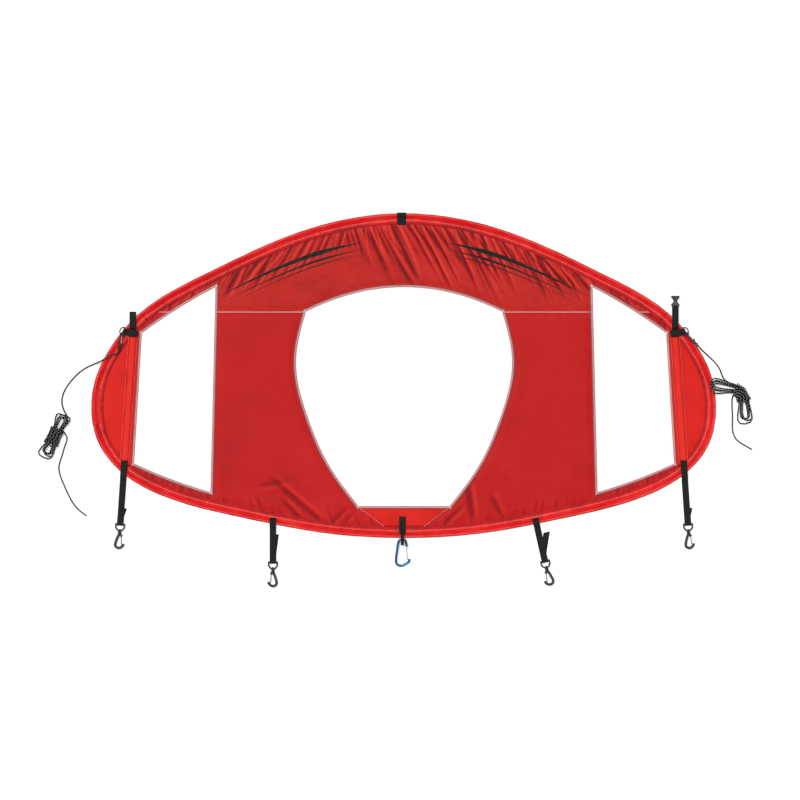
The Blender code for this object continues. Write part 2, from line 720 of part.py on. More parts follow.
def build_side_strap(hoop, name, side):
    """Makes a side strap and the pocket that it runs through; returns the strap's frame."""
    bar, top = place(SIDE_EYE_SHARES, side), place(STRAP_TOP_SHARES, side)
    along = top - bar
    frame = turned_frame(bar, math.atan2(-along.x, along.y))
    half = WEB_WIDTH / 2
    middle = along.length / 2
    tube_low = hoop.reach(frame, half, -TUBE_RADIUS, 0, middle)[0]
    tube_high = hoop.reach(frame, half, TUBE_RADIUS, 0, middle)[1]
    slope_high = hoop.reach(frame, half, SLEEVE_SLOPE, 0, middle)[1] + WEB
    wide = half + 2 * GAP + POCKET_WALL + POCKET_FLANGE
    tail_high = hoop.reach(frame, wide, TAIL_REACH, 0, middle)[1] + 2 * WEB
    upper_tail = hoop.reach(frame, wide, TAIL_REACH, middle, 2 * along.length)[0] - 2 * WEB
    high, low = along.length, along.length - POCKET_LENGTH
    levels = [
        (high, ON_TAIL), (upper_tail, ON_TAIL), (upper_tail - WEB_RAMP, ON_CLOTH),
        (tail_high + WEB_RAMP, ON_CLOTH), (tail_high, ON_TAIL), (low, ON_TAIL),
    ]
    inner, outer = half + GAP, half + GAP + POCKET_WALL
    edge = outer + POCKET_FLANGE
    rings = []
    for s, base in levels:
        roof = base + WEB + GAP
        hat = [(-edge, base), (-edge, base + POCKET_WALL), (-outer, base + POCKET_WALL)]
        hat += [(-inner, roof + POCKET_WALL), (inner, roof + POCKET_WALL)]
        hat += [(outer, base + POCKET_WALL), (edge, base + POCKET_WALL)]
        hat += [(edge, base), (inner, base), (inner - GAP / 2, roof)]
        hat += [(-inner + GAP / 2, roof), (-inner, base)]
        rings.append([(x, s, z) for x, z in hat])
    add(f"pocket_{name}", loft_mesh(f"pocket_{name}", rings), "end", frame)

    inside = [(s, base + WEB / 2) for s, base in levels[1:-1]]
    path = [(high - WEB_RAMP, ON_TAIL + WEB / 2)] if high - WEB_RAMP > upper_tail else []
    path += inside + [(slope_high, ON_TAIL + WEB / 2), (tube_high, ON_TUBE + WEB / 2)]
    path += [(tube_low, ON_TUBE + WEB / 2)] + strap_end(tube_low - WEB_RAMP, SIDE_TAIL)
    mesh = ribbon_mesh(f"strap_{name}", path, [half] * len(path))
    add(f"strap_{name}", mesh, "web", frame)
    return frame


def build_lower_strap(hoop, name, side):
    """Makes a lower strap, sewn to the rim sleeve; returns its frame at the eye."""
    sewn = place((LOWER_STRAP_X_SHARE, LOWER_SEWN_SHARE), side)
    angle = side * LOWER_LEANS[name]
    down = Vector((math.sin(angle), -math.cos(angle)))
    frame = turned_frame(sewn + down * LOWER_STRAP_LENGTH, angle)
    half = WEB_WIDTH / 2
    span = 0, 2 * LOWER_STRAP_LENGTH
    tube_low = hoop.reach(frame, half, -TUBE_RADIUS, *span)[0]
    tube_high = hoop.reach(frame, half, TUBE_RADIUS, *span)[1]
    slope_high = hoop.reach(frame, half, SLEEVE_SLOPE, *span)[1] + WEB
    path = [(LOWER_STRAP_LENGTH, ON_TAIL + WEB / 2), (slope_high, ON_TAIL + WEB / 2)]
    path += [(tube_high, ON_TUBE + WEB / 2), (tube_low, ON_TUBE + WEB / 2)]
    path += strap_end(tube_low - WEB_RAMP, min(LOWER_TAIL, tube_low - 2 * WEB))
    mesh = ribbon_mesh(f"strap_lower_{name}", path, [half] * len(path))
    add(f"strap_lower_{name}", mesh, "web", frame)
    return frame


def stadium(center, direction, radius, reach):
    """Returns a slot outline: round at its center, square at its far end."""
    side = Vector((-direction.y, direction.x))
    points = []
    for step in range(5):
        angle = math.pi * (0.5 + step / 4)
        points.append(center + (direction * math.cos(angle) + side * math.sin(angle)) * radius)
    far = center + direction * reach
    return points + [far - side * radius, far + side * radius]


def knuckle_tools(pivot, aim, spec):
    """Returns the Boolean steps that fork a hook at its gate's pivot and pin the gate in it."""
    radius, half_thick, root, thick, pin = spec
    slot = stadium(pivot, aim, root + GAP, radius + OVERRUN)
    half_slot = thick / 2 + GAP
    return [
        (plate_mesh("knuckle", disc(pivot, radius, 10), -half_thick, half_thick), "UNION"),
        (plate_mesh("slot", slot, -half_slot, half_slot), "DIFFERENCE"),
        (plate_mesh("pin", disc(pivot, pin, 8), -half_slot - GAP, half_slot + GAP), "UNION"),
    ]


def slot_aim(tip, side):
    """Returns the direction of a gate's slot: to its tip, turned out of the hook."""
    return (tip.normalized() + Vector((side * SLOT_TURN_SHARE, 0))).normalized()


def gate_mesh(name, tip, bar, spec):
    """Makes a flat gate with a pin hole, from its pivot at the origin to its tip."""
    _, _, root, thick, pin = spec
    direction = tip.normalized()
    side = Vector((-direction.y, direction.x))
    outline = [tip + side * bar / 2, direction * root + side * bar / 2]
    for step in range(1, 8):
        angle = math.pi * (0.25 + 1.5 * step / 8)
        outline.append((direction * math.cos(angle) + side * math.sin(angle)) * root)
    outline += [direction * root - side * bar / 2, tip - side * bar / 2]
    plate = plate_mesh(name, outline, -thick / 2, thick / 2)
    hole = plate_mesh("hole", disc((0, 0), pin + GAP, 8), -thick, thick)
    return combine(name, plate, [(hole, "DIFFERENCE")])


def swivel_hook_meshes():
    """Makes the eye, the body and the gate of a swivel snap hook, once for all four."""
    half = EYE_INSIDE / 2 + EYE_BAR
    shoulder = -(EYE_SIDE + EYE_DROP) / 2 - EYE_BAR
    ring = [Vector(p) for p in ((0, 0), (-half, 0), (-half, -EYE_SIDE))]
    ring.append(Vector((-half * EYE_SHOULDER_SHARE, shoulder)))
    ring.append(Vector((-BOSS_RADIUS * EYE_FOOT_SHARE, -EYE_DROP)))
    right = [Vector((-p.x, p.y)) for p in ring[:0:-1]]
    path = ring + right
    eye = sweep_mesh("hook_eye", path, EYE_BAR, EYE_BAR, closed=True)
    boss_low, boss_high = -EYE_DROP - BOSS_LENGTH / 2, -EYE_DROP + BOSS_LENGTH / 2
    boss = turned_mesh("boss", [(boss_low, BOSS_RADIUS), (boss_high, BOSS_RADIUS)])
    ends = boss_low - OVERRUN, boss_high + OVERRUN
    bore = turned_mesh("bore", [(y, STUD_RADIUS + GAP) for y in ends])
    eye = smooth(combine("hook_eye", eye, [(boss, "UNION"), (bore, "DIFFERENCE")]))

    top = BOSS_LENGTH / 2 + GAP
    barrel_low = -top - BARREL_LENGTH
    profile = [
        (top + HEAD_LENGTH, HEAD_RADIUS * HEAD_TIP_SHARE), (top + HEAD_LENGTH / 2, HEAD_RADIUS),
        (top, HEAD_RADIUS), (top, STUD_RADIUS), (-top, STUD_RADIUS), (-top, BOSS_RADIUS),
        (-top - 3 * GAP, BARREL_RADIUS), (barrel_low + 3 * GAP, BARREL_RADIUS),
        (barrel_low, BOW_HALF_THICK),
    ]
    body = turned_mesh("hook_body", profile[::-1])
    shares = [Vector((HOOK_HALF * x, -HOOK_LENGTH * y)) for x, y in BOW_SHARES]
    bow = sweep_mesh("bow", shares, BOW_HALF_WIDE, BOW_HALF_THICK)
    across, drop = GATE_PIVOT_SHARES
    pivot = Vector((HOOK_HALF * across, -HOOK_LENGTH * drop))
    nose = shares[-1]
    tip = nose + Vector((BOW_HALF_WIDE + GAP + GATE_BAR / 2, -GATE_BAR)) - pivot
    aim = slot_aim(tip, 1)
    spec = (KNUCKLE_RADIUS, BOW_HALF_THICK, GATE_ROOT_RADIUS, GATE_THICK, GATE_PIN_RADIUS)
    body = combine("hook_body", body, [(bow, "UNION")] + knuckle_tools(pivot, aim, spec))
    gate = gate_mesh("hook_gate", tip, GATE_BAR, spec)
    return eye, smooth(body), smooth(gate), pivot


def build_hooks(frames):
    """Hangs a swivel snap hook on each strap's frame."""
    eye, body, gate, pivot = swivel_hook_meshes()
    for name, (frame, flip) in frames.items():
        at_bar = frame @ Matrix.Translation((0, 0, EYE_Z))
        add(f"hook_eye_{name}", eye, "hook", at_bar)
        turn = Matrix.Rotation(math.pi if flip else 0.0, 4, "Y")
        at_stud = at_bar @ Matrix.Translation((0, -EYE_DROP, 0)) @ turn
        add(f"hook_body_{name}", body, "hook", at_stud)
        add(f"hook_gate_{name}", gate, "hook", at_stud @ Matrix.Translation(pivot.to_3d()))


def build_bottom_tab(hoop):
    """Makes the webbing loop on the tack patch and the carabiner that hangs in it."""
    frame = turned_frame(Vector((CENTER_TAB_X, HOOP_LOW_Y)), 0.0)
    half = WEB_WIDTH / 2
    clear = CARABINER_ROD + GAP + WEB / 2
    low = ON_TUBE + WEB / 2
    high = low + 2 * clear
    sewn_low = ON_CLOTH + PATCH_WALL + GAP + WEB / 2
    sewn = place((0, PATCH_SHARES[1][1])).y - HOOP_LOW_Y + BOTTOM_TAB_SEWN
    on_tail = TAIL_REACH + WEB_RAMP / 2
    lower = [(sewn, sewn_low), (on_tail, sewn_low), (TAIL_REACH - WEB, ON_TAIL + WEB / 2)]
    lower += [(SLEEVE_SLOPE + WEB, ON_TAIL + WEB / 2), (TUBE_RADIUS, low)]
    fold = -LOOP_REACH + clear + WEB / 2
    path = list(lower)
    for step in range(FOLD_STEPS + 1):
        angle = -math.pi / 2 - math.pi * step / FOLD_STEPS
        path.append((fold + clear * math.cos(angle), low + clear + clear * math.sin(angle)))
    rise = WEB + GAP
    upper = [(s, z + rise) for s, z in lower[::-1][2:]]
    path += [(TUBE_RADIUS, high), (SLEEVE_SLOPE + WEB_RAMP / 2, ON_TAIL + WEB / 2 + rise)]
    path += upper[1:]
    widths = [LOOP_WIDTH / 2 if s < SLEEVE_SLOPE else half for s, _ in path]
    add("tab_bottom", ribbon_mesh("tab_bottom", path, widths), "web", frame)

    height = low + clear
    tilt = math.asin((height - CARABINER_ROD) / (CARABINER_LENGTH + CARABINER_ROD))
    swing = Matrix.Translation((CENTER_TAB_X, HOOP_LOW_Y - LOOP_SEAT + CARABINER_ROD, height))
    swing = swing @ Matrix.Rotation(tilt, 4, "X")
    shares = [Vector((CARABINER_HALF * x, -CARABINER_LENGTH * y)) for x, y in CARABINER_SHARES]
    path = spline(shares, 2)
    body = sweep_mesh("carabiner_body", path, CARABINER_ROD, CARABINER_ROD, sides=12)
    across, drop = CARABINER_PIVOT_SHARES
    pivot = Vector((CARABINER_HALF * across, -CARABINER_LENGTH * drop))
    tip = path[-1] + Vector((-CARABINER_ROD - GAP - WIRE_RADIUS, -WIRE_RADIUS)) - pivot
    aim = slot_aim(tip, -1)
    thick = 2 * (WIRE_SPREAD + WIRE_RADIUS)
    spec = (CARABINER_KNUCKLE, CARABINER_ROD, GATE_ROOT_RADIUS, thick, GATE_PIN_RADIUS)
    body = combine("carabiner_body", body, knuckle_tools(pivot, aim, spec))
    add("carabiner_body", smooth(body), "blue", swing)
    gate = wire_gate_mesh(tip, spec)
    add("carabiner_gate", smooth(gate), "steel", swing @ Matrix.Translation(pivot.to_3d()))


def wire_gate_mesh(tip, spec):
    """Makes the carabiner's gate: a root eye with a narrow wire loop out to the tip."""
    _, _, root, thick, pin = spec
    direction = tip.normalized()
    across = Vector((-direction.y, direction.x))
    start = root * WIRE_ROOT_SHARE
    bend = tip.length - WIRE_SPREAD
    loop = [Vector((start, WIRE_SPREAD))]
    for step in range(5):
        angle = math.pi / 2 - math.pi * step / 4
        loop.append(Vector((bend + WIRE_SPREAD * math.cos(angle), WIRE_SPREAD * math.sin(angle))))
    loop.append(Vector((start, -WIRE_SPREAD)))
    wire = sweep_mesh("wire", loop, WIRE_RADIUS * WIRE_WIDE_SHARE, WIRE_RADIUS, sides=6)
    wire.transform(Matrix((
        (direction.x, 0, across.x, 0), (direction.y, 0, across.y, 0), (0, 1, 0, 0), (0, 0, 0, 1),
    )))
    plate = plate_mesh("root", disc((0, 0), root, 12), -thick / 2, thick / 2)
    hole = plate_mesh("hole", disc((0, 0), pin + GAP, 8), -thick, thick)
    return combine("carabiner_gate", plate, [(wire, "UNION"), (hole, "DIFFERENCE")])


def build_top_tab(hoop):
    """Makes the webbing wrapped over the rim at the top centre."""
    top = max(hoop.points, key=lambda p: p.y)
    frame = turned_frame(Vector((TOP_TAB_X, top.y)), math.pi)
    half = TOP_TAB_WIDTH / 2
    span = -TOP_TAB_REACH, TOP_TAB_REACH
    outer = hoop.reach(frame, half, -TUBE_RADIUS, *span)[0]
    inner = hoop.reach(frame, half, TUBE_RADIUS, *span)[1]
    slope = hoop.reach(frame, half, SLEEVE_SLOPE, *span)[1]
    radius = (inner - outer) / 2 + GAP + WEB / 2
    path = [(TOP_TAB_REACH, ON_TAIL + WEB / 2), (slope + WEB, ON_TAIL + WEB / 2)]
    for n, z in arc_points(radius / math.cos(math.pi / 12), TUBE_RADIUS, (60, 90, 120, 150, 180)):
        path.append(((inner + outer) / 2 + n, z))
    path.append((path[-1][0], TUBE_RADIUS / 2))
    corner = half * TOP_TAB_CORNER_SHARE
    widths = [half - corner] + [half] * (len(path) - 1)
    path.insert(1, (TOP_TAB_REACH - corner, ON_TAIL + WEB / 2))
    widths.insert(1, half)
    add("tab_top", ribbon_mesh("tab_top", path, widths), "web", frame)


def corner_strip(hoop, name, side, length):
    """Returns a corner webbing's frame at its foot and its rim heights along the strip."""
    foot = place((CORNER_X_SHARE, CORNER_FOOT_SHARE), side)
    frame = turned_frame(foot, 0.0)
    half = WEB_WIDTH / 2
    slope_low = hoop.reach(frame, half, SLEEVE_SLOPE, -length, 2 * length)[0] - 2 * WEB
    tube_low = hoop.reach(frame, half, TUBE_RADIUS, -length, 2 * length)[0]
    return frame, max(slope_low, WEB), tube_low


def build_corners(hoop):
    """Makes the closure loop, the toggle on its strap, and the ring tabs with their rings."""
    half = WEB_WIDTH / 2
    ply = WEB + GAP
    for name, side in SIDES.items():
        length = LOOP_LENGTH if side < 0 else TOGGLE_STRAP_LENGTH
        frame, slope_low, tube_low = corner_strip(hoop, name, side, length)
        low = [(0, ON_TAIL + WEB / 2), (slope_low, ON_TAIL + WEB / 2), (tube_low, ON_TUBE + WEB / 2)]
        end, bend = length - ply / 2 - WEB / 2, ply / 2
        path = list(low)
        for step in range(FOLD_STEPS + 1):
            angle = -math.pi / 2 + math.pi * step / FOLD_STEPS
            rise = bend + bend * math.sin(angle)
            path.append((end + bend * math.cos(angle), ON_TUBE + WEB / 2 + rise))
        path += [(s, z + ply) for s, z in low[::-1]]
        node = "closure_loop" if side < 0 else "toggle_strap"
        add(node, ribbon_mesh(node, path, [half] * len(path)), "web", frame)
        if side > 0:
            build_toggle(frame, length)
        build_ring(hoop, name, side)


def build_toggle(frame, length):
    """Makes the moulded toggle on the end of its strap."""
    rings = []
    for along, wide, thick in TOGGLE_SHARES:
        y, w, t = along * TOGGLE_LENGTH, wide * TOGGLE_HALF, thick * TOGGLE_HALF_THICK
        trim = t / 2
        ring = [(w, t - trim), (w - trim, t), (trim - w, t), (-w, t - trim)]
        ring += [(-x, -z) for x, z in ring]
        rings.append([(x, y, z) for x, z in ring])
    solid = loft_mesh("toggle", rings)
    wide, thick = WEB_WIDTH / 2 + GAP, WEB + 1.5 * GAP
    corners = [(-wide, -OVERRUN), (wide, -OVERRUN), (wide, TOGGLE_SOCKET), (-wide, TOGGLE_SOCKET)]
    socket = plate_mesh("socket", corners, -thick, thick)
    mesh = smooth(combine("closure_toggle", solid, [(socket, "DIFFERENCE")]))
    middle = ON_TUBE + WEB + GAP / 2
    seat = Matrix.Translation((0, length - TOGGLE_SOCKET + GAP, middle))
    add("closure_toggle", mesh, "hook", frame @ seat)


def ring_frame(side):
    """Returns the frame of a ring's bar: +Y points away from its tab, +X down the sail."""
    bar = place(RING_BAR_SHARES, side)
    out = Vector((side * math.cos(RING_LEAN), math.sin(RING_LEAN)))
    return turned_frame(bar, math.atan2(-out.x, out.y))


def build_ring(hoop, name, side):
    """Makes a D-ring in its folded webbing tab, and the rein's hook on the ring."""
    frame = ring_frame(side)
    half = WEB_WIDTH / 2
    ply = WEB + GAP
    fold = RING_WIRE + GAP + WEB / 2
    low = ON_TUBE + RING_TAB_LIFT + WEB / 2
    tube = -hoop.reach(frame, half, TUBE_RADIUS, -RING_TAB_LENGTH, RING_TAB_LENGTH)[0]
    lower = [(-RING_TAB_LENGTH, low), (-tube, low)]
    path = list(lower)
    for step in range(FOLD_STEPS + 1):
        angle = -math.pi / 2 + math.pi * step / FOLD_STEPS
        path.append((fold * math.cos(angle), low + fold + fold * math.sin(angle)))
    path += [(-RING_TAB_PINCH, low + ply)] + [(s, z + ply) for s, z in lower[::-1]]
    widths = [half if s <= -tube else half - RING_TAB_SQUEEZE for s, _ in path]
    add(f"ring_tab_{name}", ribbon_mesh(f"ring_tab_{name}", path, widths), "web", frame)

    bar_z = low + fold
    arch = RING_DEPTH - RING_LEG
    turn = RING_LINKS[name]
    link = Vector((side * RING_HALF * math.sin(turn), RING_LEG + arch * math.cos(turn)))
    seat = frame @ Matrix.Translation((0, 0, bar_z)) @ Matrix.Rotation(RING_TILT, 4, "X")
    bow = [Vector((RING_HALF, 0))]
    for step in range(RING_STEPS + 1):
        angle = math.pi / 2 - math.pi * step / RING_STEPS
        bow.append(Vector((RING_HALF * math.sin(angle), RING_LEG + arch * math.cos(angle))))
    bow.append(Vector((-RING_HALF, 0)))
    mesh = smooth(sweep_mesh(f"d_ring_{name}", bow, RING_WIRE, RING_WIRE, closed=True))
    add(f"d_ring_{name}", mesh, "hook", seat)
    build_rein(name, side, seat @ link.to_3d())


def rein_hook_meshes():
    """Makes the body and the gate of a rein hook, once for both."""
    spine = [Vector((REIN_HALF, -REIN_NOSE)), Vector((REIN_HALF, -REIN_HALF))]
    for step in range(1, 6):
        angle = math.pi * step / 6
        spine.append(Vector((REIN_HALF * math.cos(angle), -REIN_HALF + REIN_HALF * math.sin(angle))))
    neck = -REIN_EYE_DROP + REIN_EYE_RADIUS
    spine += [Vector((-REIN_HALF, -REIN_HALF)), Vector((-REIN_HALF, -REIN_SHANK))]
    spine.append(Vector((-REIN_HALF * REIN_SHOULDER_SHARE, (neck - REIN_SHANK) / 2)))
    spine.append(Vector((0, neck)))
    body = sweep_mesh("rein_hook", spine, REIN_ROD, REIN_ROD)
    eye_rod = REIN_ROD * REIN_EYE_ROD_SHARE
    circle = disc((0, -REIN_EYE_DROP), REIN_EYE_RADIUS, 12, 0)
    eye = sweep_mesh("eye", circle, eye_rod, eye_rod, 6, True)
    wide, high = REIN_HALF * REIN_WEB_SHARE, neck + REIN_ROD
    web = [(-REIN_HALF, -REIN_PIVOT_DROP + REIN_ROD), (REIN_HALF, -REIN_PIVOT_DROP)]
    web += [(wide, high), (0, neck), (-wide, high), (-REIN_HALF, -REIN_SHANK)]
    thick = REIN_ROD * REIN_WEB_THICK_SHARE
    block = plate_mesh("block", web, -thick, thick)
    pivot = Vector((REIN_HALF, -REIN_PIVOT_DROP))
    seat = REIN_HALF - REIN_ROD - REIN_GATE_BAR * REIN_GATE_SEAT_SHARE
    tip = Vector((seat, -REIN_NOSE + REIN_GATE_BAR)) - pivot
    spec = (REIN_KNUCKLE, REIN_ROD, REIN_ROOT_RADIUS, REIN_GATE_THICK, REIN_PIN_RADIUS)
    aim = slot_aim(tip, -1)
    tools = [(block, "UNION"), (eye, "UNION")] + knuckle_tools(pivot, aim, spec)
    body = smooth(combine("rein_hook", body, tools))
    return body, smooth(gate_mesh("rein_gate", tip, REIN_GATE_BAR, spec)), pivot


def build_rein(name, side, at):
    """Hangs a rein hook on its ring, rolled so that its legs pass over and under, with its cord."""
    body, gate, pivot = rein_hook_meshes()
    turn = Matrix.Rotation(REIN_HEADINGS[name] + math.pi / 2, 4, "Z")
    turn = turn @ Matrix.Rotation(REIN_PITCH, 4, "X") @ Matrix.Rotation(side * REIN_ROLL, 4, "Y")
    seat = Vector((0, REIN_ROD + RING_WIRE + LINK_SLACK, 0))
    matrix = Matrix.Translation(at) @ turn @ Matrix.Translation(seat)
    add(f"rein_hook_{name}", body, "hook", matrix)
    add(f"rein_gate_{name}", gate, "steel", matrix @ Matrix.Translation(pivot.to_3d()))

    loops = Hank(HANKS[name])
    tube(f"rein_{name}_hank", loops.points, 1)
    print(f"rein_{name}_hank: least gap to itself {1000 * loops.least_gap():.2f} mm")
    down = (turn @ Vector((0, -1, 0))).normalized()
    out = matrix @ Vector((0, -REIN_EYE_DROP - REIN_EYE_RADIUS - REIN_ROD - GAP, 0))
    start, onward = loops.end(0)
    lead = [out, out + down * 2 * CORD_RADIUS]
    lead += [Vector(p) for p in LEAD_ROUTES[name]]
    lead += [start - onward * (2 * CORD_RADIUS + GAP), start - onward * GAP]
    tube(f"rein_{name}_lead", even(lead, True), 2)
    start, onward = loops.end(-1)
    tail = [start + onward * GAP, start + onward * (2 * CORD_RADIUS + GAP)]
    tail += [Vector(p) for p in TAIL_ROUTES[name]]
    tube(f"rein_{name}_tail", even(tail, False), 2)


def even(route, seated):
    """Returns evenly spaced points of a smooth curve through a cord's route.

    The first stretch stays straight, and so does the last one of a cord seated at both ends.
    """
    fine = spline(route, CURVE_SAMPLES)
    middle = fine[CURVE_SAMPLES:len(fine) - CURVE_SAMPLES if seated else len(fine)]
    along = [0.0]
    for a, b in zip(middle, middle[1:]):
        along.append(along[-1] + (b - a).length)
    spots = np.linspace(0, along[-1], round(along[-1] / CORD_STEP) + 1)
    axes = [np.interp(spots, along, [p[i] for p in middle]) for i in range(3)]
    points = [Vector((x, y, max(z, CORD_RADIUS))) for x, y, z in zip(*axes)]
    return [route[0], *points, route[-1]] if seated else [route[0], *points]


def tube(name, points, resolution):
    """Makes a cord as a curve with a round bevel and filled caps."""
    curve = bpy.data.curves.new(name, "CURVE")
    curve.dimensions = "3D"
    curve.bevel_depth = CORD_RADIUS
    curve.bevel_resolution = resolution
    curve.use_fill_caps = True
    line = curve.splines.new("POLY")
    line.points.add(len(points) - 1)
    for spot, point in zip(line.points, points):
        spot.co = (*point, 1.0)
    curve.materials.append(material("cord"))
    obj = bpy.data.objects.new(name, curve)
    bpy.context.scene.collection.objects.link(obj)


class Hank:
    """A rein wound into long loops in two layers, then wrapped round their waist.

    In its own frame u runs along the hank, v across it and w up. The loops spiral in along the
    lower layer, climb at the far end and spiral out along the upper one.
    """

    def __init__(self, spec):
        self.spec = spec
        local = self.loops() + self.bridge() + self.wraps()
        self.points = [self.put(p) for p in local]

    def base(self, angle):
        """Returns a point of the outermost loop at an angle."""
        share = math.cos(angle)
        width = HANK_WAIST + (HANK_END - HANK_WAIST) * share * share
        blunt = abs(math.sin(angle)) ** HANK_BLUNT
        return Vector((self.spec["half"] * share, math.copysign(width * blunt, math.sin(angle))))

    def loop_point(self, angle, k, w):
        """Returns a point of the loops at an angle, k lanes in and at height w."""
        nearby = math.pi / LOOP_POINTS
        here, along = self.base(angle), self.base(angle + nearby) - self.base(angle - nearby)
        inward = Vector((-along.y, along.x)).normalized()
        return (here + inward * k * HANK_STEP).to_3d() + Vector((0, 0, w))

    def lane(self, turns):
        """Returns how many lanes in the cord runs, so many turns past the first waist."""
        whole, part = divmod(max(turns, 0.0), 1.0)
        if turns < HANK_TURNS:
            early = self.spec["start"] / (2 * math.pi) + 0.25
            return whole + min(1.0, max(0.0, (part - 0.5) / early))
        if turns <= HANK_TURNS + 0.5:
            return HANK_TURNS
        late = HANK_LATE_SHARE
        return 2 * HANK_TURNS - whole - min(1.0, max(0.0, (part - 1 + late) / late))

    def loops(self):
        """Returns the two layers of loops, up to the first wrap."""
        points = []
        quarter = math.pi / 2
        step = 2 * math.pi / LOOP_POINTS
        first = self.spec["start"]
        run = math.asin(WRAP_HALF / self.spec["half"])
        angles = [first]
        last = quarter + 4 * math.pi * HANK_TURNS + run
        while angles[-1] < last - step:
            angles.append(step * (math.floor(angles[-1] / step + 0.01) + 1))
        for angle in angles + [last]:
            turns = (angle - quarter) / (2 * math.pi)
            k = 0 if turns >= 2 * HANK_TURNS else self.lane(turns)
            climb = min(1.0, max(0.0, 2 * (turns - HANK_TURNS)))
            climb = climb * climb * (3 - 2 * climb)
            points.append(self.loop_point(angle, k, LAYER_HALF * (2 * climb - 1)))
        return points

    def half_at(self, u):
        """Returns the outermost strand's distance from the middle, along its straight segments."""
        step = 2 * math.pi / LOOP_POINTS
        angle = math.acos(max(-1.0, min(1.0, u / self.spec["half"])))
        near = [self.base(step * n) for n in (math.floor(angle / step), math.floor(angle / step) + 1)]
        return float(np.interp(u, [near[1].x, near[0].x], [near[1].y, near[0].y]))

    def bridge(self):
        """Returns the cord's way from the last strand up and over to the first wrap."""
        side, cord = self.half_at(-WRAP_HALF), 2 * CORD_RADIUS
        control = [self.loops()[-1]]
        for before, across, above in CLIMB_SHARES:
            u, w = -WRAP_HALF - before * cord, WRAP_RADIUS + above * cord
            control.append(Vector((u, across * side, w)))
        return spline(control + [self.wrap_point(0.0)], 3)[1:-1]

    def wrap_point(self, turns):
        """Returns a point of the wraps, counted in turns from the first, on a stadium section."""
        u = turns * WRAP_PITCH - WRAP_HALF
        half = self.half_at(u)
        straight = 2 * half
        arc = math.pi * WRAP_RADIUS
        spot = (turns + WRAP_START) % 1.0 * 2 * (straight + arc)
        if spot < straight:
            return Vector((u, half - spot, WRAP_RADIUS))
        if spot < straight + arc:
            angle = (spot - straight) / WRAP_RADIUS
            return Vector((u, -half - WRAP_RADIUS * math.sin(angle), WRAP_RADIUS * math.cos(angle)))
        if spot < 2 * straight + arc:
            return Vector((u, spot - straight - arc - half, -WRAP_RADIUS))
        angle = (spot - 2 * straight - arc) / WRAP_RADIUS
        return Vector((u, half + WRAP_RADIUS * math.sin(angle), -WRAP_RADIUS * math.cos(angle)))

    def wraps(self):
        """Returns the wraps round the waist."""
        count = round(self.spec["wraps"] * LOOP_POINTS)
        return [self.wrap_point(step / LOOP_POINTS) for step in range(count + 1)]

    def bent(self, u, v):
        """Returns the place in the plane of a local point of the hank's bent spine."""
        limit = BEND_RADIUS * self.spec["bend"] / 2
        turn = max(-limit, min(limit, u)) / BEND_RADIUS
        spine = Vector((BEND_RADIUS * math.sin(turn), BEND_RADIUS * (1 - math.cos(turn))))
        along = Vector((math.cos(turn), math.sin(turn)))
        return spine + along * (u - turn * BEND_RADIUS) + Vector((-along.y, along.x)) * v

    def put(self, local):
        """Places a local point: bent between the strands' stations, lifted and laid down."""
        u, v, w = local
        v *= self.spec["hand"]
        half = self.spec["half"]
        step = 2 * math.pi / LOOP_POINTS
        if abs(u) < half:
            station = math.floor(math.acos(u / half) / step)
            ends = [half * math.cos(step * (station + n)) for n in (0, 1)]
            share = (u - ends[0]) / (ends[1] - ends[0])
            spot = self.bent(ends[0], v).lerp(self.bent(ends[1], v), share)
        else:
            spot = self.bent(u, v)
        rise = max(0.0, min(1.0, (u - LIFT_START) / (half - 2 * HANK_STEP - LIFT_START)))
        height = WRAP_RADIUS + CORD_RADIUS + w + self.spec["lift"] * rise
        frame = turned_frame(Vector(self.spec["place"]), self.spec["heading"])
        return frame @ Vector((spot.x, spot.y, height))

    def end(self, index):
        """Returns an end point and the cord's direction of travel there."""
        a, b = (self.points[0], self.points[1]) if index == 0 else (self.points[-2], self.points[-1])
        return self.points[index], (b - a).normalized()

    def least_gap(self):
        """Measures the least gap between stretches of the tube that aren't neighbours."""
        fine = []
        for a, b in zip(self.points, self.points[1:]):
            fine += [a.lerp(b, 0), a.lerp(b, 0.5)]
        spots = np.array([tuple(p) for p in fine])
        along = np.concatenate([[0], np.cumsum(np.linalg.norm(np.diff(spots, axis=0), axis=1))])
        apart = np.linalg.norm(spots[:, None] - spots[None], axis=2)
        near = np.abs(along[:, None] - along[None]) < math.pi * 2 * CORD_RADIUS
        apart[near] = np.inf
        return apart.min() - 2 * CORD_RADIUS


def main():
    """Builds the whole sail."""
    clear_scene()
    hoop = Hoop()
    build_rim(hoop)
    build_cloth(hoop)
    frames = {}
    for name, side in SIDES.items():
        frames[name] = (build_side_strap(hoop, name, side), True)
        frames[f"lower_{name}"] = (build_lower_strap(hoop, name, side), False)
    build_hooks(frames)
    build_bottom_tab(hoop)
    build_top_tab(hoop)
    build_corners(hoop)


main()
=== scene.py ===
"""Canoe sail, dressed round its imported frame: cloth, clear vinyl, webbing, cord and hardware.

The sail lies on its back on a pale floor. Lengths are in metres in the frame's own axes: +X is
the sail's right seen from the front, +Y points to its top edge and +Z out of its front.
"""

import json
import logging
import math
from dataclasses import dataclass, field
from enum import Enum

import bpy
import numpy as np
from mathutils import Matrix, Vector
from mathutils.geometry import delaunay_2d_cdt

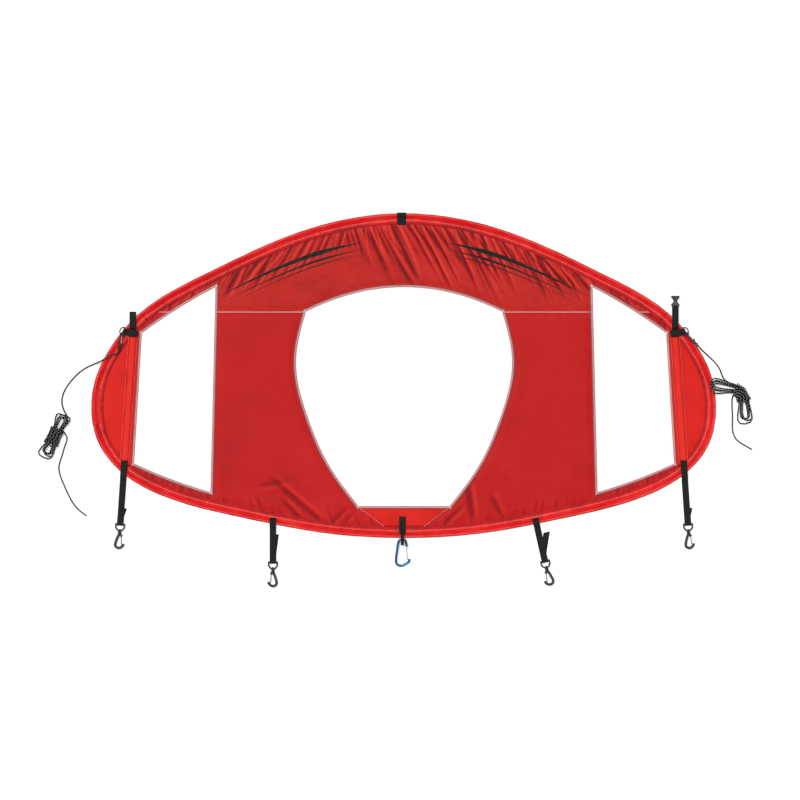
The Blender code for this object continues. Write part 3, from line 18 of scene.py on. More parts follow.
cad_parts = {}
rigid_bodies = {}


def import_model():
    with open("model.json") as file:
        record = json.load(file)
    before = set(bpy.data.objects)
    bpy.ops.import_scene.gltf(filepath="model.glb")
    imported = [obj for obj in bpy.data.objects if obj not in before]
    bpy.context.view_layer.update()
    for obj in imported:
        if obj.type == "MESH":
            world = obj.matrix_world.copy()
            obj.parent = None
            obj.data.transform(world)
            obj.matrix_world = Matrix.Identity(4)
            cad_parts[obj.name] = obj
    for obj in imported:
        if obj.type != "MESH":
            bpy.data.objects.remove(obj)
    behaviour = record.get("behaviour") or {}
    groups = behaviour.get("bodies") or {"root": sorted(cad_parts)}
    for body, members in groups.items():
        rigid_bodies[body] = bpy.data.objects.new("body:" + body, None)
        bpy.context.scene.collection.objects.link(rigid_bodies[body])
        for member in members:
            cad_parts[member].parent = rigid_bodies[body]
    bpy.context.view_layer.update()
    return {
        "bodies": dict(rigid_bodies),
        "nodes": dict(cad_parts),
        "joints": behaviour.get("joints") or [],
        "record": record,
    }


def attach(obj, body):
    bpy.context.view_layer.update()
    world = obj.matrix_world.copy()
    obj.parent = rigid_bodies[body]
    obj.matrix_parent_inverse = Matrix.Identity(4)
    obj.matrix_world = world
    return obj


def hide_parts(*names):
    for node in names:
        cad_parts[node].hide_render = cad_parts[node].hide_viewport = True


log = logging.getLogger("canoe_sail")

SIDES = {"left": -1, "right": 1}
HOOK_NAMES = ("left", "right", "lower_left", "lower_right")
BODY = "sail"
# A line's turn from which it counts as a corner, and the least run that a length is divided by
CORNER = math.radians(25)
TINY = 1e-12


def linear(text: str) -> tuple[float, float, float, float]:
    """Turns an sRGB hex colour into the linear colour that a shader takes.

    Args:
        text: the colour as "#RRGGBB".

    Returns:
        Its linear red, green and blue, with full opacity.
    """
    shares = [int(text[i : i + 2], 16) / 255 for i in (1, 3, 5)]
    bent = [s / 12.92 if s <= 0.04045 else ((s + 0.055) / 1.055) ** 2.4 for s in shares]
    return (*bent, 1.0)


def plug(tree: bpy.types.NodeTree, node: bpy.types.Node, links: dict) -> None:
    """Sets a node's inputs.

    Args:
        tree: the shader or geometry tree.
        node: the node.
        links: what each input takes, by its name or number: a value, an output, or a node for its first one.
    """
    for socket, value in links.items():
        if isinstance(value, bpy.types.Node):
            value = value.outputs[0]
        if isinstance(value, bpy.types.NodeSocket):
            tree.links.new(value, node.inputs[socket])
        else:
            node.inputs[socket].default_value = value


def put(
    tree: bpy.types.NodeTree, kind: str, links: dict | None = None, stops: tuple = (), **settings
) -> bpy.types.Node:
    """Adds one node to a tree with its settings, values and links.

    Args:
        tree: the shader or geometry tree.
        kind: the node's type name.
        links: what each input takes, as plug reads it.
        stops: a colour ramp's places and hex colours, its two ends first.
        settings: the node's own properties.

    Returns:
        The new node.
    """
    made = tree.nodes.new(kind)
    for name, value in settings.items():
        setattr(made, name, value)
    for number, (place, tone) in enumerate(stops):
        ends = made.color_ramp.elements
        stop = ends[number] if number < 2 else ends.new(place)
        stop.position, stop.color = place, linear(tone)
    plug(tree, made, links or {})
    return made


def band_scale(period: float) -> float:
    """Returns the Wave Texture scale whose bands repeat every period metres."""
    return math.pi / (10 * period)


@dataclass(frozen=True)
class Finish:
    """A surface finish, made into one Blender material on first use."""

    name: str

    def made(self) -> bpy.types.Material:
        """Returns this finish's material."""
        found = bpy.data.materials.get(self.name)
        if found:
            return found
        material = bpy.data.materials.new(self.name)
        material.use_nodes = True
        tree = material.node_tree
        plug(tree, tree.nodes["Principled BSDF"], self.wire(tree))
        return material

    def wire(self, tree: bpy.types.NodeTree) -> dict:
        """Builds the finish's patterns.

        Args:
            tree: the material's node tree.

        Returns:
            What each socket of the shader takes.
        """
        raise NotImplementedError


@dataclass(frozen=True)
class TaperedStripes:
    """Plain printed stripes that follow the rim and taper to a point at both ends."""

    depths: tuple[float, ...] = (0.06, 0.077, 0.088)
    halves: tuple[float, ...] = (0.006, 0.003, 0.0016)
    start: float = 0.11
    end: float = 0.52
    rise: float = 0.12
    fade: float = 0.3

    def mask(self, tree: bpy.types.NodeTree) -> bpy.types.Node:
        """Builds the stripes' mask from the panel's Rim map: way along the rim, and depth in."""
        rim = put(tree, "ShaderNodeUVMap", uv_map="Rim")
        way, deep, _ = put(tree, "ShaderNodeSeparateXYZ", {0: rim}).outputs
        away = put(tree, "ShaderNodeMath", {0: way}, operation="ABSOLUTE")
        full, thin = self.start + self.rise, self.end - self.fade
        grow = put(tree, "ShaderNodeMapRange", {0: away, 1: self.start, 2: full, 3: 0.0, 4: 1.0})
        drop = put(tree, "ShaderNodeMapRange", {0: away, 1: thin, 2: self.end, 3: 1.0, 4: 0.0})
        taper = put(tree, "ShaderNodeMath", {0: grow, 1: drop}, operation="MULTIPLY")
        total = None
        for depth, half in zip(self.depths, self.halves):
            off = put(tree, "ShaderNodeMath", {0: deep, 1: depth}, operation="SUBTRACT")
            off = put(tree, "ShaderNodeMath", {0: off}, operation="ABSOLUTE")
            wide = put(tree, "ShaderNodeMath", {0: taper, 1: half}, operation="MULTIPLY")
            hit = put(tree, "ShaderNodeMath", {0: off, 1: wide}, operation="LESS_THAN")
            total = put(tree, "ShaderNodeMath", {0: total, 1: hit}, operation="MAXIMUM") if total else hit
        return total


@dataclass(frozen=True)
class CoatedNylon(Finish):
    """Polyurethane-coated nylon taffeta: a satin red cloth with a fine ripstop grid.

    The eye sees a soft gloss, faint grid lines, painted shade in the hollows of its creases and a painted
    highlight on their ridges.
    """

    # The colours of the painted shade in hollows, of the flat face, and of the painted highlight on ridges
    hollow: str
    face: str
    ridge: str
    roughness: float = 0.46
    # The real threads stand 0.25 mm apart; they are drawn at 0.9 mm so that they show
    thread: float = 0.0009
    grid: float = 0.006
    grid_depth: float = 0.00012
    grid_edge: float = 14.0
    grid_shade: float = -0.07
    thread_light: float = 0.05
    crumple: float = 0.012
    crumple_depth: float = 0.0009
    # How much of the tone the creases' painted shade and highlight give, the level that they start from, and
    # the clouds' share
    tone_and_shade_share: float = 0.42
    level: float = 0.24
    cloud_share: float = 0.5
    stripes: TaperedStripes | None = None
    ink: str = "#1C2220"

    def wire(self, tree: bpy.types.NodeTree) -> dict:
        """Paints shade into the cloth's hollows and a highlight onto its ridges, and gives it its weave, grid
        and crumple.
        """
        place = put(tree, "ShaderNodeTexCoord").outputs["Object"]
        crease = put(tree, "ShaderNodeAttribute", attribute_name="crease").outputs["Fac"]
        links = {"Vector": place, "Scale": 9.0, "Detail": 5.0, "Roughness": 0.6}
        cloudy = put(tree, "ShaderNodeTexNoise", links)
        level = {0: crease, 1: self.tone_and_shade_share, 2: self.level}
        level = put(tree, "ShaderNodeMath", level, operation="MULTIPLY_ADD")
        level = {0: cloudy, 1: self.cloud_share, 2: level}
        level = put(tree, "ShaderNodeMath", level, operation="MULTIPLY_ADD")
        # Painted shade for the hollows and a painted highlight for the ridges, read from the creases
        stops = ((0.12, self.hollow), (0.9, self.ridge), (0.48, self.face))
        color = put(tree, "ShaderNodeValToRGB", {0: level}, stops)

        threads, grids = [], []
        for direction in ("X", "Y"):
            for period, lines in ((self.thread, threads), (self.grid, grids)):
                links = {"Vector": place, "Scale": band_scale(period)}
                lines.append(put(tree, "ShaderNodeTexWave", links, bands_direction=direction).outputs["Fac"])
        grids = [{0: line, 1: self.grid_edge} for line in grids]
        grids = [put(tree, "ShaderNodeMath", line, operation="POWER") for line in grids]
        threads = put(tree, "ShaderNodeMath", dict(enumerate(threads)), operation="MULTIPLY")
        grid = put(tree, "ShaderNodeMath", dict(enumerate(grids)), operation="MAXIMUM")
        shade = put(tree, "ShaderNodeMath", {0: grid, 1: self.grid_shade, 2: 1.0}, operation="MULTIPLY_ADD")
        shade = {0: threads, 1: self.thread_light, 2: shade}
        shade = put(tree, "ShaderNodeMath", shade, operation="MULTIPLY_ADD")
        links = {0: 1.0, 6: color, 7: shade}
        tone = put(tree, "ShaderNodeMix", links, data_type="RGBA", blend_type="MULTIPLY").outputs[2]
        if self.stripes:
            links = {0: self.stripes.mask(tree), 6: tone, 7: linear(self.ink)}
            tone = put(tree, "ShaderNodeMix", links, data_type="RGBA").outputs[2]

        links = {"Vector": place, "Scale": 1 / self.crumple, "Detail": 4.0, "Roughness": 0.55}
        crumple = put(tree, "ShaderNodeTexNoise", links | {"Distortion": 0.6})
        links = {"Strength": 0.6, "Distance": self.crumple_depth, "Height": crumple}
        bump = put(tree, "ShaderNodeBump", links)
        for strength, depth, height in ((0.5, self.grid_depth, grid), (0.4, self.thread / 6, threads)):
            links = {"Strength": strength, "Distance": depth, "Height": height, "Normal": bump}
            bump = put(tree, "ShaderNodeBump", links)
        gloss = {0: cloudy, 3: self.roughness - 0.06, 4: self.roughness + 0.08}
        gloss = put(tree, "ShaderNodeMapRange", gloss)
        return {"Base Color": tone, "Normal": bump, "Roughness": gloss, "Specular IOR Level": 0.1}


@dataclass(frozen=True)
class ClearVinyl(Finish):
    """Flexible PVC window film: almost clear, a little milky, with soft waves that catch light."""

    tints: tuple[str, str] = ("#E9E6E8", "#F4F2F3")
    milk: float = 0.07
    wave: float = 0.09

    def wire(self, tree: bpy.types.NodeTree) -> dict:
        """Makes the film see-through and gives it its slow waves and faint haze."""
        place = put(tree, "ShaderNodeTexCoord").outputs["Object"]
        links = {"Vector": place, "Scale": 14.0, "Detail": 6.0, "Roughness": 0.6}
        haze = put(tree, "ShaderNodeTexNoise", links)
        clear = put(tree, "ShaderNodeMapRange", {0: haze, 3: self.milk - 0.03, 4: self.milk + 0.03})
        tint = put(tree, "ShaderNodeValToRGB", {0: haze}, tuple(enumerate(self.tints)))
        wave = put(tree, "ShaderNodeTexNoise", {"Vector": place, "Scale": 1 / self.wave, "Detail": 1.0})
        bump = put(tree, "ShaderNodeBump", {"Strength": 0.5, "Distance": 0.004, "Height": wave})
        return {"Base Color": tint, "Alpha": clear, "Normal": bump, "Roughness": 0.12, "IOR": 1.53}


@dataclass(frozen=True)
class ShadedCutEdge(Finish):
    """The raw cut edge of the film, drawn as a dull dark line of painted shade."""

    # The two tones of the painted shade on the edge
    tones: tuple[str, str] = ("#431A1F", "#7C464C")

    def wire(self, tree: bpy.types.NodeTree) -> dict:
        """Gives the edge its painted shade, dull and uneven."""
        place = put(tree, "ShaderNodeTexCoord").outputs["Object"]
        nicks = put(tree, "ShaderNodeTexNoise", {"Vector": place, "Scale": 320.0, "Detail": 2.0})
        tone = put(tree, "ShaderNodeValToRGB", {0: nicks}, tuple(enumerate(self.tones)))
        return {"Base Color": tone, "Roughness": 0.5}


@dataclass(frozen=True)
class WovenWebbing(Finish):
    """Polypropylene webbing, 16 mm plain weave: matt black with raised cross ribs.

    The Weave map runs across the band and along it, in metres.
    """

    tones: tuple[str, str] = ("#0A0D0B", "#2A2F2A")
    # The real picks stand 1 mm apart; they are drawn at 1.6 mm so that they show
    pick: float = 0.0016
    warp: float = 0.0021

    def wire(self, tree: bpy.types.NodeTree) -> dict:
        """Draws the picks, the warp ribs and a little pale fuzz."""
        weave = put(tree, "ShaderNodeUVMap", uv_map="Weave").outputs[0]
        links = {"Vector": weave, "Scale": band_scale(self.warp)}
        across = put(tree, "ShaderNodeTexWave", links, bands_direction="X").outputs["Fac"]
        links = {"Vector": weave, "Scale": band_scale(self.pick), "Distortion": 0.4}
        along = put(tree, "ShaderNodeTexWave", links, bands_direction="Y").outputs["Fac"]
        rib = put(tree, "ShaderNodeMath", {0: across, 1: along}, operation="MULTIPLY")
        fuzz = put(tree, "ShaderNodeTexNoise", {"Vector": weave, "Scale": 900.0, "Detail": 3.0})
        level = put(tree, "ShaderNodeMath", {0: rib, 1: 0.7, 2: 0.05}, operation="MULTIPLY_ADD")
        level = put(tree, "ShaderNodeMath", {0: fuzz, 1: 0.35, 2: level}, operation="MULTIPLY_ADD")
        tone = put(tree, "ShaderNodeValToRGB", {0: level}, tuple(enumerate(self.tones)))
        bump = put(tree, "ShaderNodeBump", {"Strength": 0.8, "Distance": 0.0003, "Height": rib})
        return {"Base Color": tone, "Normal": bump, "Roughness": 0.78, "Specular IOR Level": 0.2}


@dataclass(frozen=True)
class MouldedAcetal(Finish):
    """Injection-moulded acetal: near-black, a low satin gloss and a fine spark-eroded grain."""

    dark: str = "#0C100E"
    light: str = "#1E2522"
    roughness: float = 0.36
    grain: float = 0.0006

    def wire(self, tree: bpy.types.NodeTree) -> dict:
        """Gives the moulding its grain, handling scuffs and slight tone shift."""
        place = put(tree, "ShaderNodeTexCoord").outputs["Object"]
        grain = put(tree, "ShaderNodeTexNoise", {"Vector": place, "Scale": 1 / self.grain, "Detail": 2.0})
        links = {"Vector": place, "Scale": 260.0, "Detail": 4.0, "Distortion": 1.0}
        scuff = put(tree, "ShaderNodeTexNoise", links)
        tone = put(tree, "ShaderNodeValToRGB", {0: scuff}, ((0.35, self.dark), (0.8, self.light)))
        gloss = {0: scuff, 3: self.roughness - 0.08, 4: self.roughness + 0.14}
        gloss = put(tree, "ShaderNodeMapRange", gloss)
        bump = put(tree, "ShaderNodeBump", {"Strength": 0.25, "Distance": 0.00005, "Height": grain})
        return {"Base Color": tone, "Roughness": gloss, "Normal": bump}


@dataclass(frozen=True)
class BareMetal(Finish):
    """A metal with a drawn or anodised skin: colour in its reflections and fine lengthwise lines."""

    dark: str
    light: str
    roughness: float = 0.3
    line: float = 0.0008

    def wire(self, tree: bpy.types.NodeTree) -> dict:
        """Sets the metal and varies its tone and gloss along the drawn lines."""
        place = put(tree, "ShaderNodeTexCoord").outputs["Object"]
        run = put(tree, "ShaderNodeMapping", {"Vector": place, "Scale": (1.0, 0.12, 1.0)})
        lines = put(tree, "ShaderNodeTexNoise", {"Vector": run, "Scale": 1 / self.line, "Detail": 3.0})
        tone = put(tree, "ShaderNodeValToRGB", {0: lines}, ((0.25, self.dark), (0.75, self.light)))
        gloss = {0: lines, 3: self.roughness - 0.07, 4: self.roughness + 0.07}
        gloss = put(tree, "ShaderNodeMapRange", gloss)
        bump = put(tree, "ShaderNodeBump", {"Strength": 0.1, "Distance": 0.00003, "Height": lines})
        return {"Base Color": tone, "Roughness": gloss, "Normal": bump, "Metallic": 1.0}


@dataclass(frozen=True)
class BraidedCord(Finish):
    """A 3 mm polyester braid: black strands with pale tracer strands that show as flecks.

    The Braid map runs once round the cord and along it in metres.
    """

    strand: str = "#0B0E0C"
    tracer: str = "#D8DAD4"
    picks: float = 4.0
    lay: float = 0.0074

    def wire(self, tree: bpy.types.NodeTree) -> dict:
        """Crosses two sets of strands and lets a few pale ones through."""
        braid = put(tree, "ShaderNodeUVMap", uv_map="Braid").outputs[0]
        round_it, along, _ = put(tree, "ShaderNodeSeparateXYZ", {0: braid}).outputs
        turns = put(tree, "ShaderNodeMath", {0: along, 1: 1 / self.lay}, operation="MULTIPLY")
        waves = []
        for sign in (1.0, -1.0):
            phase = {0: round_it, 1: sign * self.picks / 2, 2: turns}
            phase = put(tree, "ShaderNodeMath", phase, operation="MULTIPLY_ADD")
            turn = put(tree, "ShaderNodeMath", {0: phase, 1: 2 * math.pi}, operation="MULTIPLY")
            waves.append(put(tree, "ShaderNodeMath", {0: turn}, operation="SINE"))
        cross = put(tree, "ShaderNodeMath", dict(enumerate(waves)), operation="MULTIPLY")
        both = put(tree, "ShaderNodeMath", dict(enumerate(waves)), operation="MINIMUM")
        patch = put(tree, "ShaderNodeTexNoise", {"Vector": braid, "Scale": 160.0, "Detail": 1.0})
        fleck = put(tree, "ShaderNodeMath", {0: patch, 1: 0.6, 2: both}, operation="MULTIPLY_ADD")
        tone = put(tree, "ShaderNodeValToRGB", {0: fleck}, ((0.92, self.strand), (1.0, self.tracer)))
        bump = put(tree, "ShaderNodeBump", {"Strength": 0.7, "Distance": 0.0003, "Height": cross})
        return {"Base Color": tone, "Normal": bump, "Roughness": 0.72, "Specular IOR Level": 0.2}


@dataclass(frozen=True)
class SewingThread(Finish):
    """Bonded polyester thread, twisted: a pale, rose or black line with a slight silk."""

    shade: str
    tone: str

    def wire(self, tree: bpy.types.NodeTree) -> dict:
        """Gives the thread its twist and the red that it picks up from the cloth."""
        place = put(tree, "ShaderNodeTexCoord").outputs["Object"]
        twist = put(tree, "ShaderNodeTexNoise", {"Vector": place, "Scale": 700.0, "Detail": 2.0})
        tone = put(tree, "ShaderNodeValToRGB", {0: twist}, ((0.3, self.shade), (0.62, self.tone)))
        return {"Base Color": tone, "Roughness": 0.55}


SLEEVE_CLOTH = CoatedNylon(
    "sleeve_nylon", "#9E1012", "#E0181C", "#F4554C", roughness=0.4, grid_depth=0.0, crumple=0.009,
    crumple_depth=0.0005,
)
# The upper and lower panels are one ripstop; the upper's lighter face and ridge colours are painted light
UPPER_CLOTH = CoatedNylon("upper_ripstop_lit", "#740B0E", "#C0211B", "#DA3D33", stripes=TaperedStripes())
LOWER_CLOTH = CoatedNylon("lower_ripstop", "#8E0E10", "#BE1516", "#CE2922")
END_CLOTH = CoatedNylon(
    "end_nylon", "#A90E0D", "#DA1C14", "#E62F24", grid_depth=0.0, crumple=0.02, crumple_depth=0.0004
)
FILM = ClearVinyl("window_film")
FILM_EDGE_SHADE = ShadedCutEdge("window_film_edge_shade")
BLACK_WEB = WovenWebbing("black_webbing")
BLACK_ACETAL = MouldedAcetal("black_acetal")
BLUE_ANODISED = BareMetal("blue_anodised", "#1F5884", "#5C98C6")
STEEL_WIRE = BareMetal("stainless_wire", "#8E9296", "#D6D9DC", roughness=0.24)
DARK_STEEL = BareMetal("blackened_steel", "#23282A", "#585F62", roughness=0.34)
GREY_STEEL = BareMetal("ferrule_steel", "#7A7D7F", "#B9BCBE", roughness=0.38)
GLASS_ROD = MouldedAcetal("fibreglass_rod", "#A89F84", "#D2CBB2", roughness=0.45)
BLACK_BRAID = BraidedCord("black_braid")
PALE_THREAD = SewingThread("pale_thread", "#CFA9AA", "#FFF4F2")
RED_THREAD = SewingThread("rose_thread", "#E0524E", "#FF9C92")
BLACK_THREAD = SewingThread("black_thread", "#0B0D0C", "#3C413E")


def spline(points: np.ndarray, steps: int, closed: bool = False) -> np.ndarray:
    """Samples the smooth cubic curve that the frame's own outlines follow.

    Args:
        points: the control points, one a row.
        steps: samples in each span.
        closed: whether the last point joins the first.

    Returns:
        The samples, and for an open curve its last point too.
    """
    points = np.asarray(points, float)
    count = len(points)
    spans = count if closed else count - 1
    ahead = np.roll(points, -1, axis=0)
    chord = np.linalg.norm(ahead - points, axis=1)[:spans]
    system = np.zeros((count, count))
    target = np.zeros(points.shape)
    for i in range(count):
        if closed or 0 < i < count - 1:
            before, after = chord[i - 1], chord[i % spans]
            system[i, i - 1] += after
            system[i, i] += 2 * (before + after)
            system[i, (i + 1) % count] += before
            step_on, step_back = ahead[i] - points[i], points[i] - points[i - 1]
            target[i] = 3 * (after / before * step_back + before / after * step_on)
        else:
            other, span = (1, 0) if i == 0 else (i - 1, i - 1)
            system[i, i], system[i, other] = 2, 1
            target[i] = 3 * (points[max(i, other)] - points[min(i, other)]) / chord[span]
    slope = np.linalg.solve(system, target)
    out = []
    for i in range(spans):
        j = (i + 1) % count
        for t in np.arange(steps) / steps:
            out.append(
                (2 * t**3 - 3 * t**2 + 1) * points[i] + (3 * t**2 - 2 * t**3) * points[j]
                + chord[i] * ((t**3 - 2 * t**2 + t) * slope[i] + (t**3 - t**2) * slope[j])
            )
    if not closed:
        out.append(points[-1])
    return np.array(out)


def noise(x: np.ndarray, y: np.ndarray, seed: int) -> np.ndarray:
    """Returns smooth noise from -1 to 1 at places in a plane, the same on every run.

    Args:
        x, y: the places, in cells of the noise.
        seed: which noise.
    """
    left, low = np.floor(x), np.floor(y)
    across, up = x - left, y - low
    across, up = across * across * (3 - 2 * across), up * up * (3 - 2 * up)

    def corner(column: np.ndarray, row: np.ndarray) -> np.ndarray:
        """Returns the noise's value at a corner of its cells."""
        value = np.sin(column * 127.1 + row * 311.7 + seed * 74.7) * 43758.5453
        return 2 * (value - np.floor(value)) - 1

    near = corner(left, low) * (1 - across) + corner(left + 1, low) * across
    far = corner(left, low + 1) * (1 - across) + corner(left + 1, low + 1) * across
    return near * (1 - up) + far * up


@dataclass(frozen=True)
class Ripple:
    """Smooth waves in cloth or film: how wide and how high each is in the plane, and which noise."""

    wide: float
    high: float
    seed: int

    def at(self, x: np.ndarray, y: np.ndarray) -> np.ndarray:
        """Returns the waves' value, from -1 to 1, at places in metres."""
        return noise(x / self.wide, y / self.high, self.seed)


def smoothed(value: np.ndarray, start: float, end: float) -> np.ndarray:
    """Returns 0 before start, 1 after end, and a smooth step between."""
    share = np.clip((value - start) / (end - start), 0, 1)
    return share * share * (3 - 2 * share)


def normals_of(line: np.ndarray, closed: bool) -> np.ndarray:
    """Returns each point's unit normal, on the left of a plane line."""
    if closed:
        run = np.roll(line, -1, axis=0) - np.roll(line, 1, axis=0)
    else:
        run = np.gradient(line, axis=0)
    left = np.stack([-run[:, 1], run[:, 0]], axis=1)
    return left / np.linalg.norm(left, axis=1, keepdims=True)


def ways_along(line: np.ndarray) -> np.ndarray:
    """Returns each point's way along a line from its start."""
    return np.concatenate([[0], np.cumsum(np.linalg.norm(np.diff(line, axis=0), axis=1))])


def at_ways(ways: np.ndarray, along: np.ndarray, rows: np.ndarray) -> np.ndarray:
    """Returns what rows of values become at ways between the places along that they stand at."""
    return np.stack([np.interp(ways, along, column) for column in rows.T], axis=1)


def spaced(line: np.ndarray, step: float, closed: bool = False) -> np.ndarray:
    """Returns a line's points at an even spacing near step, its corners kept.

    Args:
        line: the points, one a row.
        step: the spacing wanted.
        closed: whether the line joins up; then its first point isn't repeated at the end.
    """
    whole = np.vstack([line, line[:1]]) if closed else line
    runs = np.diff(whole, axis=0)
    runs = runs / np.maximum(np.linalg.norm(runs, axis=1, keepdims=True), TINY)
    kept = [0]
    for i in range(1, len(whole) - 1):
        if runs[i - 1] @ runs[i] < math.cos(CORNER):
            kept.append(i)
    kept.append(len(whole) - 1)
    out = []
    for first, last in zip(kept, kept[1:]):
        part = whole[first : last + 1]
        along = ways_along(part)
        spots = np.linspace(0, along[-1], max(2, round(along[-1] / step) + 1))[:-1]
        out.append(at_ways(spots, along, part))
    if not closed:
        out.append(whole[-1:])
    return np.vstack(out)


def away_from(points: np.ndarray, line: np.ndarray, closed: bool = True) -> np.ndarray:
    """Returns each point's distance from a line in the plane."""
    ends = np.vstack([line, line[:1]]) if closed else line
    least = np.full(len(points), np.inf)
    for a, b in zip(ends, ends[1:]):
        run = b - a
        share = np.clip(((points - a) @ run) / max(run @ run, 1e-15), 0, 1)
        least = np.minimum(least, np.linalg.norm(points - a - share[:, None] * run, axis=1))
    return least


def inside(points: np.ndarray, outlines: list[np.ndarray]) -> np.ndarray:
    """Tells which points lie inside the first outline and outside all the others."""
    kept = np.ones(len(points), bool)
    for number, outline in enumerate(outlines):
        hits = np.zeros(len(points), int)
        for a, b in zip(outline, np.roll(outline, -1, axis=0)):
            crosses = (a[1] > points[:, 1]) != (b[1] > points[:, 1])
            rise = b[1] - a[1] if b[1] != a[1] else TINY
            hits += crosses & (points[:, 0] < a[0] + (points[:, 1] - a[1]) / rise * (b[0] - a[0]))
        kept &= (hits % 2 == 1) == (number == 0)
    return kept


def twice_areas(points: np.ndarray, faces: np.ndarray) -> np.ndarray:
    """Returns twice the area of each plane triangle, below 0 for a clockwise one."""
    a, b, c = (points[faces[:, k]] for k in range(3))
    return (b - a)[:, 0] * (c - a)[:, 1] - (b - a)[:, 1] * (c - a)[:, 0]


def filled(outlines: list[np.ndarray], step: float) -> tuple[np.ndarray, np.ndarray]:
    """Fills a plane region with even triangles.

    Args:
        outlines: its border and then its holes, closed; a hole may cross the border.
        step: the triangles' size.

    Returns:
        The points, one a row, and the triangles, anticlockwise.
    """
    rims = [spaced(outline, step, closed=True) for outline in outlines]
    low, high = rims[0].min(0), rims[0].max(0)
    rows = np.arange(low[1], high[1], step * math.sqrt(3) / 2)
    grid = []
    for number, y in enumerate(rows):
        xs = np.arange(low[0] + (number % 2) * step / 2, high[0], step)
        grid.append(np.stack([xs, np.full(len(xs), y)], axis=1))
    grid = np.vstack(grid)
    grid = grid[inside(grid, rims)]
    clear = np.full(len(grid), np.inf)
    for rim in rims:
        clear = np.minimum(clear, away_from(grid, rim))
    grid = grid[clear > 0.6 * step]
    points, edges = [], []
    for rim in rims:
        first = sum(len(p) for p in points)
        edges += [(first + i, first + (i + 1) % len(rim)) for i in range(len(rim))]
        points.append(rim)
    points = np.vstack([*points, grid])
    found = delaunay_2d_cdt([Vector(p) for p in points], edges, [], 0, 1e-7)
    verts = np.array([tuple(v) for v in found[0]])
    faces = np.array([tuple(f) for f in found[2]])
    faces = faces[inside(verts[faces].mean(axis=1), rims)]
    used, faces = np.unique(faces, return_inverse=True)
    verts, faces = verts[used], faces.reshape(-1, 3)
    turned = twice_areas(verts, faces) < 0
    faces[turned] = faces[turned][:, ::-1]
    return verts, faces


def tube_faces(rows: int, count: int) -> list:
    """Returns the faces that skin rows of points, count in each, into a closed tube, its ends last."""
    here = np.arange(rows - 1)[:, None] * count
    j = np.arange(count)[None, :]
    k = (j + 1) % count
    faces = np.stack([here + j, here + k, here + count + k, here + count + j], axis=2).reshape(-1, 4)
    return faces.tolist() + [list(range(count))[::-1], list(range((rows - 1) * count, rows * count))]


def placed(points: np.ndarray, frame: Matrix) -> np.ndarray:
    """Returns points of a frame's own axes in the sail's axes."""
    return (np.hstack([points, np.ones((len(points), 1))]) @ np.array(frame).T)[:, :3]


def shown(name: str, data: bpy.types.ID) -> bpy.types.Object:
    """Makes an object of its data and puts it in the scene."""
    obj = bpy.data.objects.new(name, data)
    bpy.context.scene.collection.objects.link(obj)
    return obj


def settled(obj: bpy.types.Object, name: str) -> bpy.types.Mesh:
    """Returns an object's mesh as its modifiers leave it, and takes the object away."""
    graph = bpy.context.evaluated_depsgraph_get()
    mesh = bpy.data.meshes.new_from_object(obj.evaluated_get(graph))
    mesh.name = name
    bpy.data.objects.remove(obj)
    return mesh


def piece(name: str, verts: np.ndarray, faces: list, finish: Finish) -> bpy.types.Object:
    """Makes a smooth object at the origin from points and faces.

    Args:
        name: the piece's name.
        verts: its points, one a row.
        faces: its faces, as rows of point numbers.
        finish: its finish.

    Returns:
        The object.
    """
    mesh = bpy.data.meshes.new(name)
    mesh.from_pydata(np.asarray(verts, float).tolist(), [], [list(map(int, f)) for f in faces])
    mesh.materials.append(finish.made())
    mesh.shade_smooth()
    return shown(name, mesh)


def write_map(mesh: bpy.types.Mesh, name: str, places: np.ndarray) -> None:
    """Writes a UV map from one place a point."""
    layer = mesh.uv_layers.new(name=name)
    loops = np.zeros(len(mesh.loops), int)
    mesh.loops.foreach_get("vertex_index", loops)
    layer.data.foreach_set("uv", places[loops].astype(np.float32).ravel())


def write_tone_and_painted_light(mesh: bpy.types.Mesh, values: np.ndarray) -> None:
    """Writes each point's tone and painted light: above 0 a painted highlight as on a ridge, below 0 painted
    shade as in a hollow.
    """
    layer = mesh.attributes.new("crease", "FLOAT", "POINT")
    layer.data.foreach_set("value", values.astype(np.float32))


def doubled(
    verts: np.ndarray, faces: np.ndarray, thick: float, flare: np.ndarray | float = 0.0
) -> tuple[np.ndarray, list]:
    """Gives a sheet its back, a thickness below, and its cut edge.

    Args:
        verts: the front's points.
        faces: the front's triangles, anticlockwise from the front.
        thick: the cloth's thickness.
        flare: how each point's back is shifted, so that a cut edge slopes.

    Returns:
        All the points, front ones first, and all the faces.
    """
    count = len(verts)
    back = verts - np.array([0, 0, thick]) + flare
    edges = np.vstack([faces[:, [0, 1]], faces[:, [1, 2]], faces[:, [2, 0]]])
    known = {tuple(e) for e in edges.tolist()}
    walls = [(b, a, a + count, b + count) for a, b in known if (b, a) not in known]
    return np.vstack([verts, back]), faces.tolist() + (faces[:, ::-1] + count).tolist() + walls


def dress(obj: bpy.types.Object, slot: str, *nodes: str, body: str = BODY) -> None:
    """Puts a finished piece on its body and in place of the frame's nodes."""
    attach(obj, body)
    if nodes:
        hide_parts(*nodes)
    log.info("%s: %d faces", obj.name, len(obj.data.polygons))


